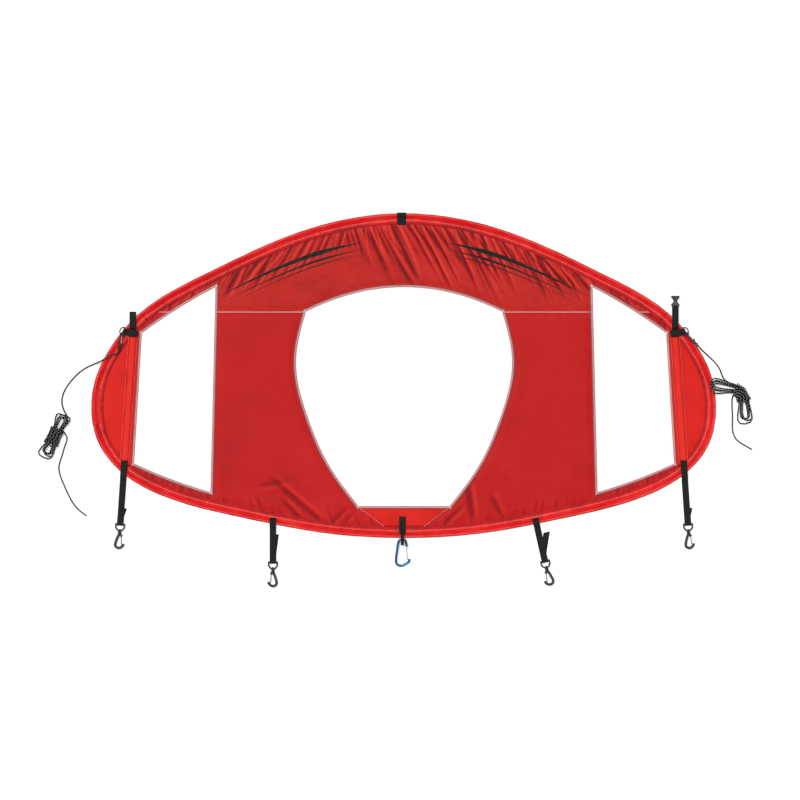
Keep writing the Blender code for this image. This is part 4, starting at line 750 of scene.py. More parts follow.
@dataclass(frozen=True)
class Layers:
    """The heights of the sail's layers, as the frame has them."""

    gap: float = 0.0003
    rod: float = 0.003
    wall: float = 0.0006
    band: float = 0.027
    slope: float = 0.008
    cloth: float = 0.0005
    film: float = 0.0005
    web: float = 0.0013
    web_width: float = 0.016
    ramp: float = 0.012

    @property
    def tube(self) -> float:
        """The sleeve's outer radius round the rod."""
        return self.rod + self.gap + self.wall

    @property
    def reach(self) -> float:
        """How far the sleeve's tails reach in from the rod's line."""
        return self.band - self.tube

    @property
    def cloth_top(self) -> float:
        """The top of the panels."""
        return self.wall + self.gap + self.cloth

    @property
    def on_cloth(self) -> float:
        """The underside of what lies on the panels."""
        return self.cloth_top + self.gap

    @property
    def tail_top(self) -> float:
        """The top of the sleeve's upper tail."""
        return self.on_cloth + self.wall

    @property
    def on_tail(self) -> float:
        """The underside of what lies on the sleeve's tail."""
        return self.tail_top + self.gap

    @property
    def on_tube(self) -> float:
        """The underside of what lies over the rod."""
        return 2 * self.tube + self.gap

    @property
    def web_on_tail(self) -> float:
        """The middle of webbing on the sleeve's tail."""
        return self.on_tail + self.web / 2

    @property
    def web_on_tube(self) -> float:
        """The middle of webbing over the rod."""
        return self.on_tube + self.web / 2

    @property
    def web_on_web(self) -> float:
        """The middle of webbing on webbing that lies on the ground."""
        return 1.5 * self.web + self.gap


LAYERS = Layers()


@dataclass
class HoopLine:
    """The rod's closed line, from the left end over the top, with its inward direction."""

    width: float = 1.514
    height: float = 0.7844
    steps: int = 10
    swell_half: float = 0.071
    swell_fade: float = 0.03
    # The outline's right half, from its top to its foot, in shares of half the width and the height
    shares: tuple = (
        (0.0, 1.0), (0.3333, 0.943), (0.641, 0.8108), (0.8462, 0.6923), (0.9359, 0.5938),
        (0.9872, 0.4923), (1.0, 0.4031), (0.9792, 0.2923), (0.9038, 0.2), (0.7692, 0.1277),
        (0.5128, 0.0615), (0.2564, 0.0154), (0.0, 0.0),
    )
    points: np.ndarray = field(init=False)
    inward: np.ndarray = field(init=False)
    along: np.ndarray = field(init=False)

    def __post_init__(self) -> None:
        """Draws the line."""
        right = np.array([self.place(s) for s in self.shares])
        left = right * (-1, 1)
        widest = int(right[:, 0].argmax())
        control = np.vstack([left[widest::-1], right[1:], left[-2:widest:-1]])
        self.points = spline(control, self.steps, closed=True)
        self.inward = -normals_of(self.points, True)
        runs = np.linalg.norm(np.roll(self.points, -1, axis=0) - self.points, axis=1)
        self.along = np.concatenate([[0], np.cumsum(runs)])

    @property
    def length(self) -> float:
        """The rod's length."""
        return float(self.along[-1])

    def place(self, shares: tuple[float, float], side: int = 1) -> np.ndarray:
        """Returns a point of the sail at shares of the hoop's half width and of its height."""
        low = -(LAYERS.slope + LAYERS.reach) / 2
        return np.array([side * shares[0] * self.width / 2, low + shares[1] * self.height])

    def control(self, index: int) -> float:
        """Returns the way along the rod to one of its control points."""
        return float(self.along[index * self.steps])

    def at(self, s: np.ndarray) -> tuple[np.ndarray, np.ndarray, np.ndarray]:
        """Returns the points, inward directions and swell of the sleeve, at ways along the rod."""
        s = np.mod(s, self.length)
        point, normal = (at_ways(s, self.along, np.vstack([a, a[:1]])) for a in (self.points, self.inward))
        normal /= np.linalg.norm(normal, axis=1, keepdims=True)
        away = np.minimum(s, self.length - s)
        return point, normal, 1 - np.clip((away - self.swell_half) / self.swell_fade, 0, 1)

    def inset(self, distance: float) -> np.ndarray:
        """Returns the closed outline at a distance inside the rod's line."""
        return self.points + self.inward * distance

    def nearest(self, points: np.ndarray) -> tuple[np.ndarray, np.ndarray]:
        """Returns each point's way along the rod and its depth inside it."""
        least, way = np.full(len(points), np.inf), np.zeros(len(points))
        ends = np.vstack([self.points, self.points[:1]])
        for i, (a, b) in enumerate(zip(ends, ends[1:])):
            run = b - a
            share = np.clip(((points - a) @ run) / (run @ run), 0, 1)
            far = np.linalg.norm(points - a - share[:, None] * run, axis=1)
            better = far < least
            least[better] = far[better]
            way[better] = (self.along[i] + share * np.linalg.norm(run))[better]
        return way, least

    def crossing(
        self, frame: Matrix, half: float, inset: float, low: float, high: float
    ) -> tuple[float, float]:
        """Returns the least and greatest local Y where the inset rim crosses a strip.

        Args:
            frame: the strip's frame.
            half: half its width.
            inset: the distance inside the rod's line.
            low, high: the stretch of the strip that is searched.
        """
        outline = self.inset(inset)
        back = np.array(frame.inverted())
        local = outline @ back[:2, :2].T + back[:2, 3]
        fine = spaced(local, 0.001, closed=True)
        hit = (np.abs(fine[:, 0]) <= half) & (fine[:, 1] > low) & (fine[:, 1] < high)
        return float(fine[hit, 1].min()), float(fine[hit, 1].max())


class StitchKind(Enum):
    """How a row of stitches runs: stitch length, zigzag width and thread radius, in metres.

    Real thread is 0.4 mm thick; it is drawn up to four times as thick so that it shows.
    """

    RIM = (0.0042, 0.0052, 0.00066)
    FILM = (0.0034, 0.0044, 0.0007)
    SEAM = (0.0034, 0.0038, 0.0007)
    STRAIGHT = (0.0034, 0.0, 0.00048)
    TACK = (0.0014, 0.0015, 0.0004)


@dataclass
class StitchWork:
    """Machine stitches, laid along their lines by one Geometry Nodes tree."""

    sides: int = 6
    rings: int = 4
    # Half a stitch's length for its loop, and a little more so that the loops meet
    share: float = 0.52
    tree: bpy.types.NodeTree | None = None

    def build_tree(self) -> bpy.types.NodeTree:
        """Builds the tree that lays one thread loop a stitch, turned left and right in turn."""
        tree = bpy.data.node_groups.new("stitch_row", "GeometryNodeTree")
        face = tree.interface
        face.new_socket("Geometry", in_out="INPUT", socket_type="NodeSocketGeometry")
        for name in ("Stitch length", "Zigzag width", "Thread radius"):
            face.new_socket(name, in_out="INPUT", socket_type="NodeSocketFloat")
        face.new_socket("Thread", in_out="INPUT", socket_type="NodeSocketMaterial")
        face.new_socket("Geometry", in_out="OUTPUT", socket_type="NodeSocketGeometry")
        given = put(tree, "NodeGroupInput").outputs
        row = put(tree, "GeometryNodeResampleCurve", {"Curve": given[0], "Length": given[1]}, mode="LENGTH")
        lean = put(tree, "ShaderNodeMath", {0: given[2], 1: given[1]}, operation="ARCTAN2")
        number = put(tree, "GeometryNodeInputIndex")
        odd = put(tree, "ShaderNodeMath", {0: number, 1: 2.0}, operation="MODULO")
        swap = put(tree, "ShaderNodeMath", {0: odd, 1: 2.0, 2: -1.0}, operation="MULTIPLY_ADD")
        turn = put(tree, "ShaderNodeMath", {0: lean, 1: swap}, operation="MULTIPLY")
        euler = put(tree, "ShaderNodeCombineXYZ", {2: turn})
        spin = put(tree, "FunctionNodeEulerToRotation", {0: euler})
        tangent = put(tree, "GeometryNodeInputTangent")
        aim = put(tree, "FunctionNodeAlignRotationToVector", {"Vector": tangent}, axis="X")
        links = {"Rotation": aim, "Rotate By": spin}
        aim = put(tree, "FunctionNodeRotateRotation", links, rotation_space="LOCAL")
        square = put(tree, "ShaderNodeMath", {0: given[1], 1: given[1]}, operation="MULTIPLY")
        total = put(tree, "ShaderNodeMath", {0: given[2], 1: given[2], 2: square}, operation="MULTIPLY_ADD")
        reach = put(tree, "ShaderNodeMath", {0: total}, operation="SQRT")
        half = put(tree, "ShaderNodeMath", {0: reach, 1: self.share}, operation="MULTIPLY")
        scale = put(tree, "ShaderNodeCombineXYZ", {0: half, 1: given[3], 2: given[3]})
        ball = {"Segments": self.sides, "Rings": self.rings, "Radius": 1.0}
        ball = put(tree, "GeometryNodeMeshUVSphere", ball)
        laid = {"Points": row, "Instance": ball, "Rotation": aim, "Scale": scale}
        laid = put(tree, "GeometryNodeInstanceOnPoints", laid)
        real = put(tree, "GeometryNodeRealizeInstances", {0: laid})
        soft = put(tree, "GeometryNodeSetShadeSmooth", {0: real})
        done = put(tree, "GeometryNodeSetMaterial", {"Geometry": soft, "Material": given[4]})
        put(tree, "NodeGroupOutput", {0: done})
        return tree

    def row(
        self, name: str, lines: list[np.ndarray], kind: StitchKind, thread: SewingThread, slot: str
    ) -> None:
        """Lays stitches along lines as one piece.

        Args:
            name: the piece's name.
            lines: the lines, each with three columns.
            kind: how the row runs.
            thread: the thread's finish.
            slot: the record's slot; not used.
        """
        self.tree = self.tree or self.build_tree()
        curve = bpy.data.curves.new(name, "CURVE")
        curve.dimensions = "3D"
        for line in lines:
            made = curve.splines.new("POLY")
            made.points.add(len(line) - 1)
            places = np.hstack([line, np.ones((len(line), 1))])
            made.points.foreach_set("co", places.astype(np.float32).ravel())
        guide = shown(name + "_guide", curve)
        step = guide.modifiers.new("stitches", "NODES")
        step.node_group = self.tree
        inputs = [i for i in self.tree.interface.items_tree if i.in_out == "INPUT"][1:]
        for socket, value in zip(inputs, (*kind.value, thread.made())):
            step[socket.identifier] = value
        dress(shown(name, settled(guide, name)), slot)


STITCHES = StitchWork()


def at_height(line: np.ndarray, height: float | np.ndarray) -> np.ndarray:
    """Gives a plane line its height."""
    return np.column_stack([line, np.broadcast_to(height, len(line))])


@dataclass
class RimSleeve:
    """The bright band round the rod: a tube with two tails, puckered along its stitching."""

    hoop: HoopLine
    step: float = 0.0045
    stitch_step: float = 0.002
    stitch_depth: float = 0.0132
    # Where the cloth leaves the rod's crest for its seam
    leave: float = 0.0012
    meet: float = 0.00003
    # Where webbing lies over the sleeve, in shares of the hoop, and half of how much it covers
    presses: tuple = (
        ((0.0, 1.0), 0.026), ((0.0, 0.0), 0.026), ((0.4225, 0.03), 0.022), ((0.905, 0.2), 0.032),
        ((0.88, 0.66), 0.04), ((1.0, 0.41), 0.05),
    )
    press_fade: float = 0.02
    # The section's places over the rod's inner side, and over the upper tail
    near_depths: tuple = (0.0024, 0.0034, 0.0048, 0.0064)
    tail_depths: tuple = (0.008, 0.0092, 0.0106, 0.012, 0.0132, 0.0144, 0.0158, 0.0174, 0.0196, 0.022)
    # Where pressed cloth leaves the rod's round, and how high it stands there as a share of the tube
    drape: float = 0.0034
    drape_share: float = 0.86
    # The section's angles round the rod, outside and in the bore, in degrees
    arc_angles: tuple = (270, 74, -13)
    bore_angles: tuple = (45, 90, 135, 180, 225, 270)
    # The painted highlight along the crest: where it stands and how wide it is
    crest_highlight: tuple = (math.radians(98), math.radians(13))
    pucker: float = 0.0006
    # The tail's puckers, short, long and fine, the cloth's waves beside the rod and its edge's way; the fine
    # puckers and the waves beside the rod are only painted, as light and shade
    short: Ripple = Ripple(0.009, 0.02, 3)
    long: Ripple = Ripple(0.027, 0.05, 4)
    fine: Ripple = Ripple(0.0045, 0.004, 9)
    beside: Ripple = Ripple(0.02, 0.01, 10)
    wander: Ripple = Ripple(0.012, 1.0, 12)
    tube_wrinkle: float = 0.00028
    edge_wander: float = 0.0005
    edge_press: float = 0.0003
    swell: float = 0.001
    cover_wall: float = 0.0006
    cover_half: float = 0.044
    cover_turn: float = 0.011
    cover_reach: float = 0.014
    cover_margin: float = 0.004
    # The control points of the hoop's line that each sleeve runs between
    ends: tuple = (
        ("sleeve_top", 3, 9), ("sleeve_right", 9, 14), ("sleeve_bottom", 14, 22), ("sleeve_left", 22, 27),
    )

    def pressed(self, s: np.ndarray) -> np.ndarray:
        """Returns how far webbing presses the sleeve down at ways along the rim, from 0 to 1."""
        out = np.zeros(np.shape(s))
        for shares, half in self.presses:
            for side in SIDES.values():
                way = self.hoop.nearest(self.hoop.place(shares, side)[None])[0][0]
                off = np.abs((s - way + self.hoop.length / 2) % self.hoop.length - self.hoop.length / 2)
                out = np.maximum(out, 1 - smoothed(off, half, half + self.press_fade))
        return out

    def tail_rise(self, s: np.ndarray, depth: np.ndarray) -> np.ndarray:
        """Returns how far the upper tail stands up at ways along the rim and depths in."""
        short = self.short.at(s, depth)
        puff = 0.5 + 0.5 * (0.6 * short + 0.4 * self.long.at(s, depth))
        off = np.abs(depth - self.stitch_depth)
        rise = self.pucker * puff * smoothed(off, 0.0, 0.004)
        share = np.clip((self.stitch_depth - depth) / (self.stitch_depth - self.leave), 0, 1)
        channel = (2 * LAYERS.tube - LAYERS.tail_top) * share * (0.94 + 0.06 * short)
        return (rise + channel) * (1 - self.pressed(s))

    def sections(self, s: np.ndarray) -> tuple[np.ndarray, np.ndarray, np.ndarray]:
        """Returns the section's depths and heights at each way along the rim, and its painted light and
        shade.
        """
        _, _, swell = self.hoop.at(s)
        radius = (LAYERS.tube + swell * self.swell)[:, None]
        height = radius + (swell * (LAYERS.gap + self.cover_wall))[:, None]
        way = s[:, None]
        angles = np.radians([np.arange(*self.arc_angles)])
        fold = noise(way / 0.013 + angles * 0.5, angles * 1.4, 7) + 0.6 * noise(way / 0.03, angles * 2.0, 8)
        lift = self.tube_wrinkle * fold * smoothed(np.sin(angles), -0.75, -0.2)
        arc_n = (radius + lift) * np.cos(angles)
        arc_z = height + (radius + lift) * np.sin(angles)
        near, tail = (np.array([depths]) for depths in (self.near_depths, self.tail_depths))
        edge = LAYERS.reach + self.edge_wander * self.wander.at(s, s * 0 + 0.5)[:, None]
        tops = np.hstack([np.repeat(tail, len(s), axis=0), edge])
        rise = self.tail_rise(way + tops * 0, tops)
        rise[:, -2:] -= self.edge_press * np.array([0.4, 1.0])
        over = near + tops[:, :1] * 0
        round_z = np.sqrt(np.maximum(radius**2 - over**2, 0)) + height
        heights = [2 * LAYERS.tube * self.drape_share, LAYERS.tail_top]
        slope_z = np.interp(over, [self.drape, self.tail_depths[0]], heights)
        tight = np.where(over < self.drape, round_z, slope_z)
        share = (self.stitch_depth - over) / (self.stitch_depth - self.leave)
        loose = LAYERS.tail_top + (radius + height - LAYERS.tail_top) * share
        down = self.pressed(way)
        over_z = np.maximum(tight, loose * (1 - down) + tight * down) * (1 - down) + tight * down
        flat = np.arange(6)[None, :] / 5
        under = edge + (LAYERS.slope - edge) * flat
        outer_n = np.hstack([under, arc_n, over, tops])
        outer_z = np.hstack([under * 0, arc_z, over_z, LAYERS.tail_top + rise])
        bore = radius - LAYERS.wall
        back = np.radians([self.bore_angles])
        ones = np.ones((len(s), 1))
        inner_n = np.hstack([edge, ones * LAYERS.slope, bore * np.cos(back), ones * LAYERS.slope, edge])
        inner_z = np.hstack([
            ones * LAYERS.on_cloth, ones * LAYERS.on_cloth, height + bore * np.sin(back),
            ones * LAYERS.wall, ones * LAYERS.wall,
        ])
        # A painted highlight along the crest over the rod
        crest_highlight = np.exp(-(((angles - self.crest_highlight[0]) / self.crest_highlight[1]) ** 2))
        # Painted shade on the tube's outer edge, where it turns away
        outside = smoothed(angles, math.radians(112), math.radians(150))
        # Painted light and shade on the tail's puckers, and painted shade along the seam
        pucker_shade = self.short.at(way, tops) + 0.5 * self.fine.at(way, tops)
        seam = np.exp(-(((tops - self.stitch_depth) / 0.003) ** 2))
        # Painted shade on the sleeve's inner hem
        hem_shade = smoothed(tops, self.stitch_depth + 0.0015, self.stitch_depth + 0.006)
        # The tube's wrinkles and the slope in from the crest get painted light and shade too
        crease = np.hstack([
            under * 0, np.clip(0.4 * fold + 1.2 * crest_highlight - 1.0 * outside, -1, 1),
            0.25 * self.beside.at(way, over) - 0.15 * smoothed(over, 0.003, 0.006),
            np.clip(0.35 * pucker_shade * (0.4 + seam) - 0.15 * seam - 0.75 * hem_shade, -1, 1), np.zeros_like(inner_n),
        ])
        return np.hstack([outer_n, inner_n]), np.hstack([outer_z, inner_z]), crease

    def loft(self, name: str, s: np.ndarray, sections: tuple) -> bpy.types.Object:
        """Skins sections along the rim into one closed piece that replaces its node.

        Args:
            name: the node's name.
            s: the ways along the rim.
            sections: depths, heights and creases, one row a station.

        Returns:
            sections: depths, heights and painted light and shade, one row a station.
        """
        depths, heights, crease = sections
        point, normal, _ = self.hoop.at(s)
        across = point[:, None, :] + normal[:, None, :] * depths[:, :, None]
        verts = np.concatenate([across, heights[:, :, None]], axis=2).reshape(-1, 3)
        obj = piece(f"{name}_cloth", verts, tube_faces(*depths.shape), SLEEVE_CLOTH)
        write_tone_and_painted_light(obj.data, crease.reshape(-1))
        outward(obj.data)
        dress(obj, "sleeve", name)
        return obj

    def build(self) -> None:
        """Builds the four sleeves, the wrap over the rod's joint and their stitches."""
        rows, backs = [], []
        for name, first, last in self.ends:
            start = self.hoop.control(first) + self.meet
            rounds, last = divmod(last, len(self.hoop.points) // self.hoop.steps)
            end = self.hoop.control(last) - self.meet + rounds * self.hoop.length
            s = np.linspace(start, end, round((end - start) / self.step) + 1)
            obj = self.loft(name, s, self.sections(s))
            count = round((end - start) / self.stitch_step) + 1
            s = np.linspace(start + self.stitch_step, end - self.stitch_step, count)
            point, normal, _ = self.hoop.at(s)
            line = point + normal * self.stitch_depth
            rise = self.tail_rise(s, np.full(len(s), self.stitch_depth))
            rows.append(at_height(line, LAYERS.tail_top + rise + 0.0001))
            backs.append(at_height(line, 0.0002))
        STITCHES.row("rim_stitches", rows, StitchKind.RIM, RED_THREAD, "sleeve")
        STITCHES.row("rim_stitches_back", backs, StitchKind.RIM, RED_THREAD, "sleeve")
        self.build_cover()

    def build_cover(self) -> None:
        """Builds the wrap of cloth over the rod's joint."""
        s = np.linspace(-self.cover_half, self.cover_half, 24)
        radius = LAYERS.tube + self.swell
        height = radius + LAYERS.gap + self.cover_wall
        rings = []
        for extra in (LAYERS.gap, LAYERS.gap + self.cover_wall):
            angles = np.radians(np.arange(270, 29, -15))[None, :]
            fold = noise(s[:, None] / 0.009, angles * 1.5, 31) * (0.0002 if extra > LAYERS.gap else 0)
            size = radius + extra + fold * smoothed(np.sin(angles), -0.7, -0.2)
            deep = np.array([[LAYERS.slope + extra, self.cover_turn, self.cover_reach]] * len(s))
            n = np.hstack([size * np.cos(angles), deep])
            z = np.hstack([height + size * np.sin(angles), deep * 0 + LAYERS.tail_top + extra])
            rings.append((n, z))
        depths = np.hstack([rings[0][0], rings[1][0][:, ::-1]])
        heights = np.hstack([rings[0][1], rings[1][1][:, ::-1]])
        self.loft("joint_cover", s, (depths, heights, depths * 0 + 0.15))
        lines = []
        for side in SIDES.values():
            angles = np.radians(np.arange(180, 40, -5))
            spot = side * (self.cover_half - self.cover_margin)
            point, normal, _ = self.hoop.at(np.full(len(angles), spot))
            size = radius + LAYERS.gap + self.cover_wall + 0.0002
            line = point + normal * (size * np.cos(angles))[:, None]
            lines.append(at_height(line, height + size * np.sin(angles)))
        STITCHES.row("joint_cover_stitches", lines, StitchKind.STRAIGHT, RED_THREAD, "sleeve")


def outward(mesh: bpy.types.Mesh) -> None:
    """Turns a closed mesh's faces to point out, by the sign of its volume."""
    count = len(mesh.vertices)
    verts = np.zeros(count * 3, np.float32)
    mesh.vertices.foreach_get("co", verts)
    verts = verts.reshape(-1, 3)
    mesh.calc_loop_triangles()
    tris = np.zeros(len(mesh.loop_triangles) * 3, np.int32)
    mesh.loop_triangles.foreach_get("vertices", tris)
    a, b, c = (verts[tris.reshape(-1, 3)[:, k]] for k in range(3))
    if (a * np.cross(b, c)).sum() < 0:
        mesh.flip_normals()


@dataclass(frozen=True)
class Crease:
    """One crease in the cloth: a valley with a low ridge beside it.

    The shares lead and hold say where along it the crease is full, and where it starts to fade.
    """

    start: tuple[float, float]
    end: tuple[float, float]
    width: float
    depth: float
    bend: float = 0.0
    lead: float = 0.35
    hold: float = 0.6
    # The ridge's share of the depth, its place beside the valley and its width, and the valley's width
    ridge: tuple[float, float, float] = (0.75, 1.5, 0.9)
    valley: float = 0.8

    def relief(self, points: np.ndarray) -> np.ndarray:
        """Returns the crease's height at places in the plane."""
        a, b = np.array(self.start), np.array(self.end)
        run = b - a
        share = ((points - a) @ run) / (run @ run)
        side = np.array([-run[1], run[0]]) / np.linalg.norm(run)
        off = ((points - a) @ side + self.bend * share * (1 - share)) / self.width
        fade = smoothed(share, -0.05, self.lead) * (1 - smoothed(share, self.hold, 1.0))
        share, aside, wide = self.ridge
        ridge = share * np.exp(-(((off - aside) / wide) ** 2))
        return self.depth * fade * (ridge - np.exp(-((off / self.valley) ** 2)))


@dataclass(frozen=True)
class FoldComb:
    """A row of slanting folds that run in from the rim, between two places across the sail.

    The slants and lengths are given at even places from first to last: a slant is the fold's
    heading from +X, in degrees. The last fields say how much one fold differs from the next.
    """

    first: float
    last: float
    spacing: float
    slants: tuple[float, ...]
    lengths: tuple[float, ...]
    width: float
    depth: float
    seed: int
    lead: float = 0.08
    sway: float = 5.0
    bow: float = 0.05
    reaches: tuple[float, float] = (0.45, 1.15)
    sizes: tuple[float, float] = (0.7, 1.35)
    depths: tuple[float, float] = (0.6, 1.2)
    holds: tuple[float, float] = (0.3, 0.6)
    gaps: tuple[float, float] = (0.55, 1.4)

    def creases(self, hoop: HoopLine) -> list[Crease]:
        """Returns the comb's folds, each a little unlike the next."""
        chance = np.random.default_rng(self.seed)
        low = self.slants[0] > 0
        edge = hoop.inset(LAYERS.reach - 0.003)
        half = edge[edge[:, 1] < 0.3] if low else edge[edge[:, 1] > 0.3]
        half = half[np.argsort(half[:, 0])]
        out, x = [], self.first
        while x < self.last:
            share = (x - self.first) / (self.last - self.first)
            slant = np.interp(share, np.linspace(0, 1, len(self.slants)), self.slants)
            slant += chance.normal(0, self.sway)
            length = np.interp(share, np.linspace(0, 1, len(self.lengths)), self.lengths)
            length *= chance.uniform(*self.reaches)
            start = np.array([x, np.interp(x, half[:, 0], half[:, 1])])
            aim = np.array([math.cos(math.radians(slant)), math.sin(math.radians(slant))])
            end = start + aim * length
            size = chance.uniform(*self.sizes)
            out.append(Crease(
                tuple(start), tuple(end), self.width * size, self.depth * size * chance.uniform(*self.depths),
                bend=chance.normal(0, self.bow) * length, lead=self.lead, hold=chance.uniform(*self.holds),
            ))
            x += self.spacing * chance.uniform(*self.gaps)
        return out


@dataclass
class SailCloth:
    """The panels: light wrinkled cloth above, smoother cloth below, heavy cloth at the ends."""

    hoop: HoopLine
    step: float = 0.0048
    fine_step: float = 0.0034
    lap: float = 0.007
    # How much of the relief, and of its painted light and shade, the heavy end panels show
    end_share: float = 0.5
    # The least share of a flat sheet's box that its area fills, and the patch's share of its own
    least_fill: float = 0.32
    patch_fill: float = 0.74
    patch_step: float = 0.005
    film_step: float = 0.011
    film_swell: float = 0.0012
    film_margin: float = 0.006
    film_slope: float = 0.0011
    knot_turn: float = math.radians(20)
    knot_half: float = 0.0032
    knot_lines: tuple = (-0.0012, 0.0, 0.0012)
    seam_step: float = 0.004
    seam_edges: tuple = (0.003, 0.006)
    end_seam: tuple = (0.574, 0.606)
    side_shares: tuple = ((0.8446, 0.632), (0.6077, 0.7751), (0.6238, 0.1375), (0.87, 0.2265))
    side_bow: float = 0.004
    middle_shares: tuple = (
        (0.3159, 0.6989), (0.3482, 0.5418), (0.3127, 0.377), (0.2402, 0.2184), (0.1467, 0.0939),
    )
    middle_top: float = 0.7751
    seam_share: float = 0.6974
    patch_shares: tuple = ((0.1434, 0.085), (0.0694, 0.0335))
    # Folds: fine and broad ones from the top rim, those of the ends, above and below, and the foot's
    combs: tuple = (
        FoldComb(-0.44, -0.14, 0.0115, (-118, -122, -118, -102), (0.07, 0.13, 0.13, 0.08), 0.0032, 0.0015, 1),
        FoldComb(
            -0.14, 0.46, 0.0105, (-76, -58, -62, -60, -50), (0.1, 0.19, 0.19, 0.15, 0.07), 0.0033, 0.0017, 2
        ),
        FoldComb(-0.40, -0.16, 0.03, (-128, -124, -112), (0.15, 0.13, 0.1), 0.0055, 0.0012, 3),
        FoldComb(-0.10, 0.40, 0.03, (-60, -58, -62, -56), (0.22, 0.24, 0.2, 0.12), 0.0055, 0.0014, 4),
        FoldComb(-0.66, -0.46, 0.011, (-122, -116), (0.03, 0.055), 0.0032, 0.0013, 5),
        FoldComb(0.46, 0.66, 0.011, (-56, -60), (0.055, 0.03), 0.0032, 0.0014, 6),
        FoldComb(-0.63, -0.47, 0.0115, (96, 88), (0.045, 0.045), 0.0032, 0.0014, 7),
        FoldComb(0.47, 0.63, 0.0115, (88, 84), (0.045, 0.045), 0.0032, 0.0015, 8),
        FoldComb(
            -0.44, 0.44, 0.028, (96, 118, 90, 62, 86), (0.03, 0.05, 0.04, 0.05, 0.03), 0.0036, 0.0009, 9
        ),
    )
    # The folds' depth, at which their painted light and shade is full
    tone_depth: float = 0.0017
    # How far the cloth stands up between its folds, as a rise and as a share of the folds' depth
    slack: float = 0.0011
    stand: float = 0.35
    pucker_depth: float = 0.0003
    pucker_fade: float = 0.01
    broad: Ripple = Ripple(0.16, 0.11, 41)
    middle: Ripple = Ripple(0.05, 0.04, 42)
    rim_pucker: Ripple = Ripple(0.009, 0.03, 43)
    seam_pucker: Ripple = Ripple(0.007, 0.007, 44)
    film_waves: tuple = (Ripple(0.13, 0.2, 51), Ripple(0.07, 0.09, 52))
    patch_rise: Ripple = Ripple(0.02, 0.015, 61)
    patch_tone: Ripple = Ripple(0.03, 0.02, 62)
    # The larger creases of the lower panel: start, end, width and depth
    creases: tuple = (
        Crease((-0.33, 0.13), (-0.17, -0.005), 0.007, 0.0026),
        Crease((-0.30, 0.075), (-0.235, 0.012), 0.006, 0.0022),
        Crease((-0.135, 0.055), (-0.20, -0.004), 0.005, 0.0018),
        Crease((-0.115, 0.045), (-0.165, -0.002), 0.004, 0.0014),
        Crease((0.155, 0.12), (0.17, 0.012), 0.008, 0.0026),
        Crease((0.15, 0.065), (0.085, 0.0), 0.006, 0.002),
        Crease((0.21, 0.09), (0.245, 0.02), 0.007, 0.0016),
        Crease((-0.27, 0.12), (-0.37, 0.105), 0.007, 0.0012),
    )

    def bowed(self, start: np.ndarray, end: np.ndarray, bow: float, steps: int = 20) -> np.ndarray:
        """Returns points from start up to, not at, end, bowed to the left."""
        run = end - start
        left = np.array([-run[1], run[0]]) / np.linalg.norm(run)
        t = (np.arange(steps) / steps)[:, None]
        return start + run * t + left * bow * 4 * t * (1 - t)

    def side_window(self, side: int) -> np.ndarray:
        """Returns the outline of one side window's opening."""
        top, inner, low, outer = (self.hoop.place(s, side) for s in self.side_shares)
        bow = -self.side_bow * side
        line = np.vstack([self.bowed(top, inner, bow), inner[None], self.bowed(low, outer, bow), outer[None]])
        return line if side < 0 else line[::-1]

    def middle_window(self) -> np.ndarray:
        """Returns the outline of the centre window's opening."""
        right = spline(np.array([self.hoop.place(s) for s in self.middle_shares]), 8)
        left = (right * (-1, 1))[::-1]
        rise = self.hoop.place((0, self.middle_top))[1] - right[0][1]
        return np.vstack([right, left[:-1], self.bowed(left[-1], right[0], rise)])

    def openings(self) -> dict[str, np.ndarray]:
        """Returns the three windows' openings."""
        return {"left": self.side_window(-1), "center": self.middle_window(), "right": self.side_window(1)}

    def widened(self, outline: np.ndarray, distance: float) -> np.ndarray:
        """Returns a clean offset of an opening's outline, outwards for a positive distance."""
        line = spaced(outline, 0.004, closed=True)
        lefts = []
        for run in (line - np.roll(line, 1, axis=0), np.roll(line, -1, axis=0) - line):
            left = np.stack([-run[:, 1], run[:, 0]], axis=1)
            lefts.append(left / np.linalg.norm(run, axis=1, keepdims=True))
        middle = lefts[0] + lefts[1]
        middle /= np.linalg.norm(middle, axis=1, keepdims=True)
        grow = distance / np.maximum((middle * lefts[0]).sum(axis=1), 0.4)
        area = 0.5 * np.sum(line[:, 0] * np.roll(line[:, 1], -1) - np.roll(line[:, 0], -1) * line[:, 1])
        return line + middle * grow[:, None] * (-1 if area > 0 else 1)

    def cut(self, outline: np.ndarray, point: np.ndarray, normal: np.ndarray) -> np.ndarray:
        """Keeps the part of a convex outline on the side that a line's normal points to."""
        kept = []
        for here, there in zip(outline, np.roll(outline, -1, axis=0)):
            a, b = (here - point) @ normal, (there - point) @ normal
            if a >= 0:
                kept.append(here)
            if (a >= 0) != (b >= 0):
                kept.append(here + (there - here) * a / (a - b))
        return np.array(kept)

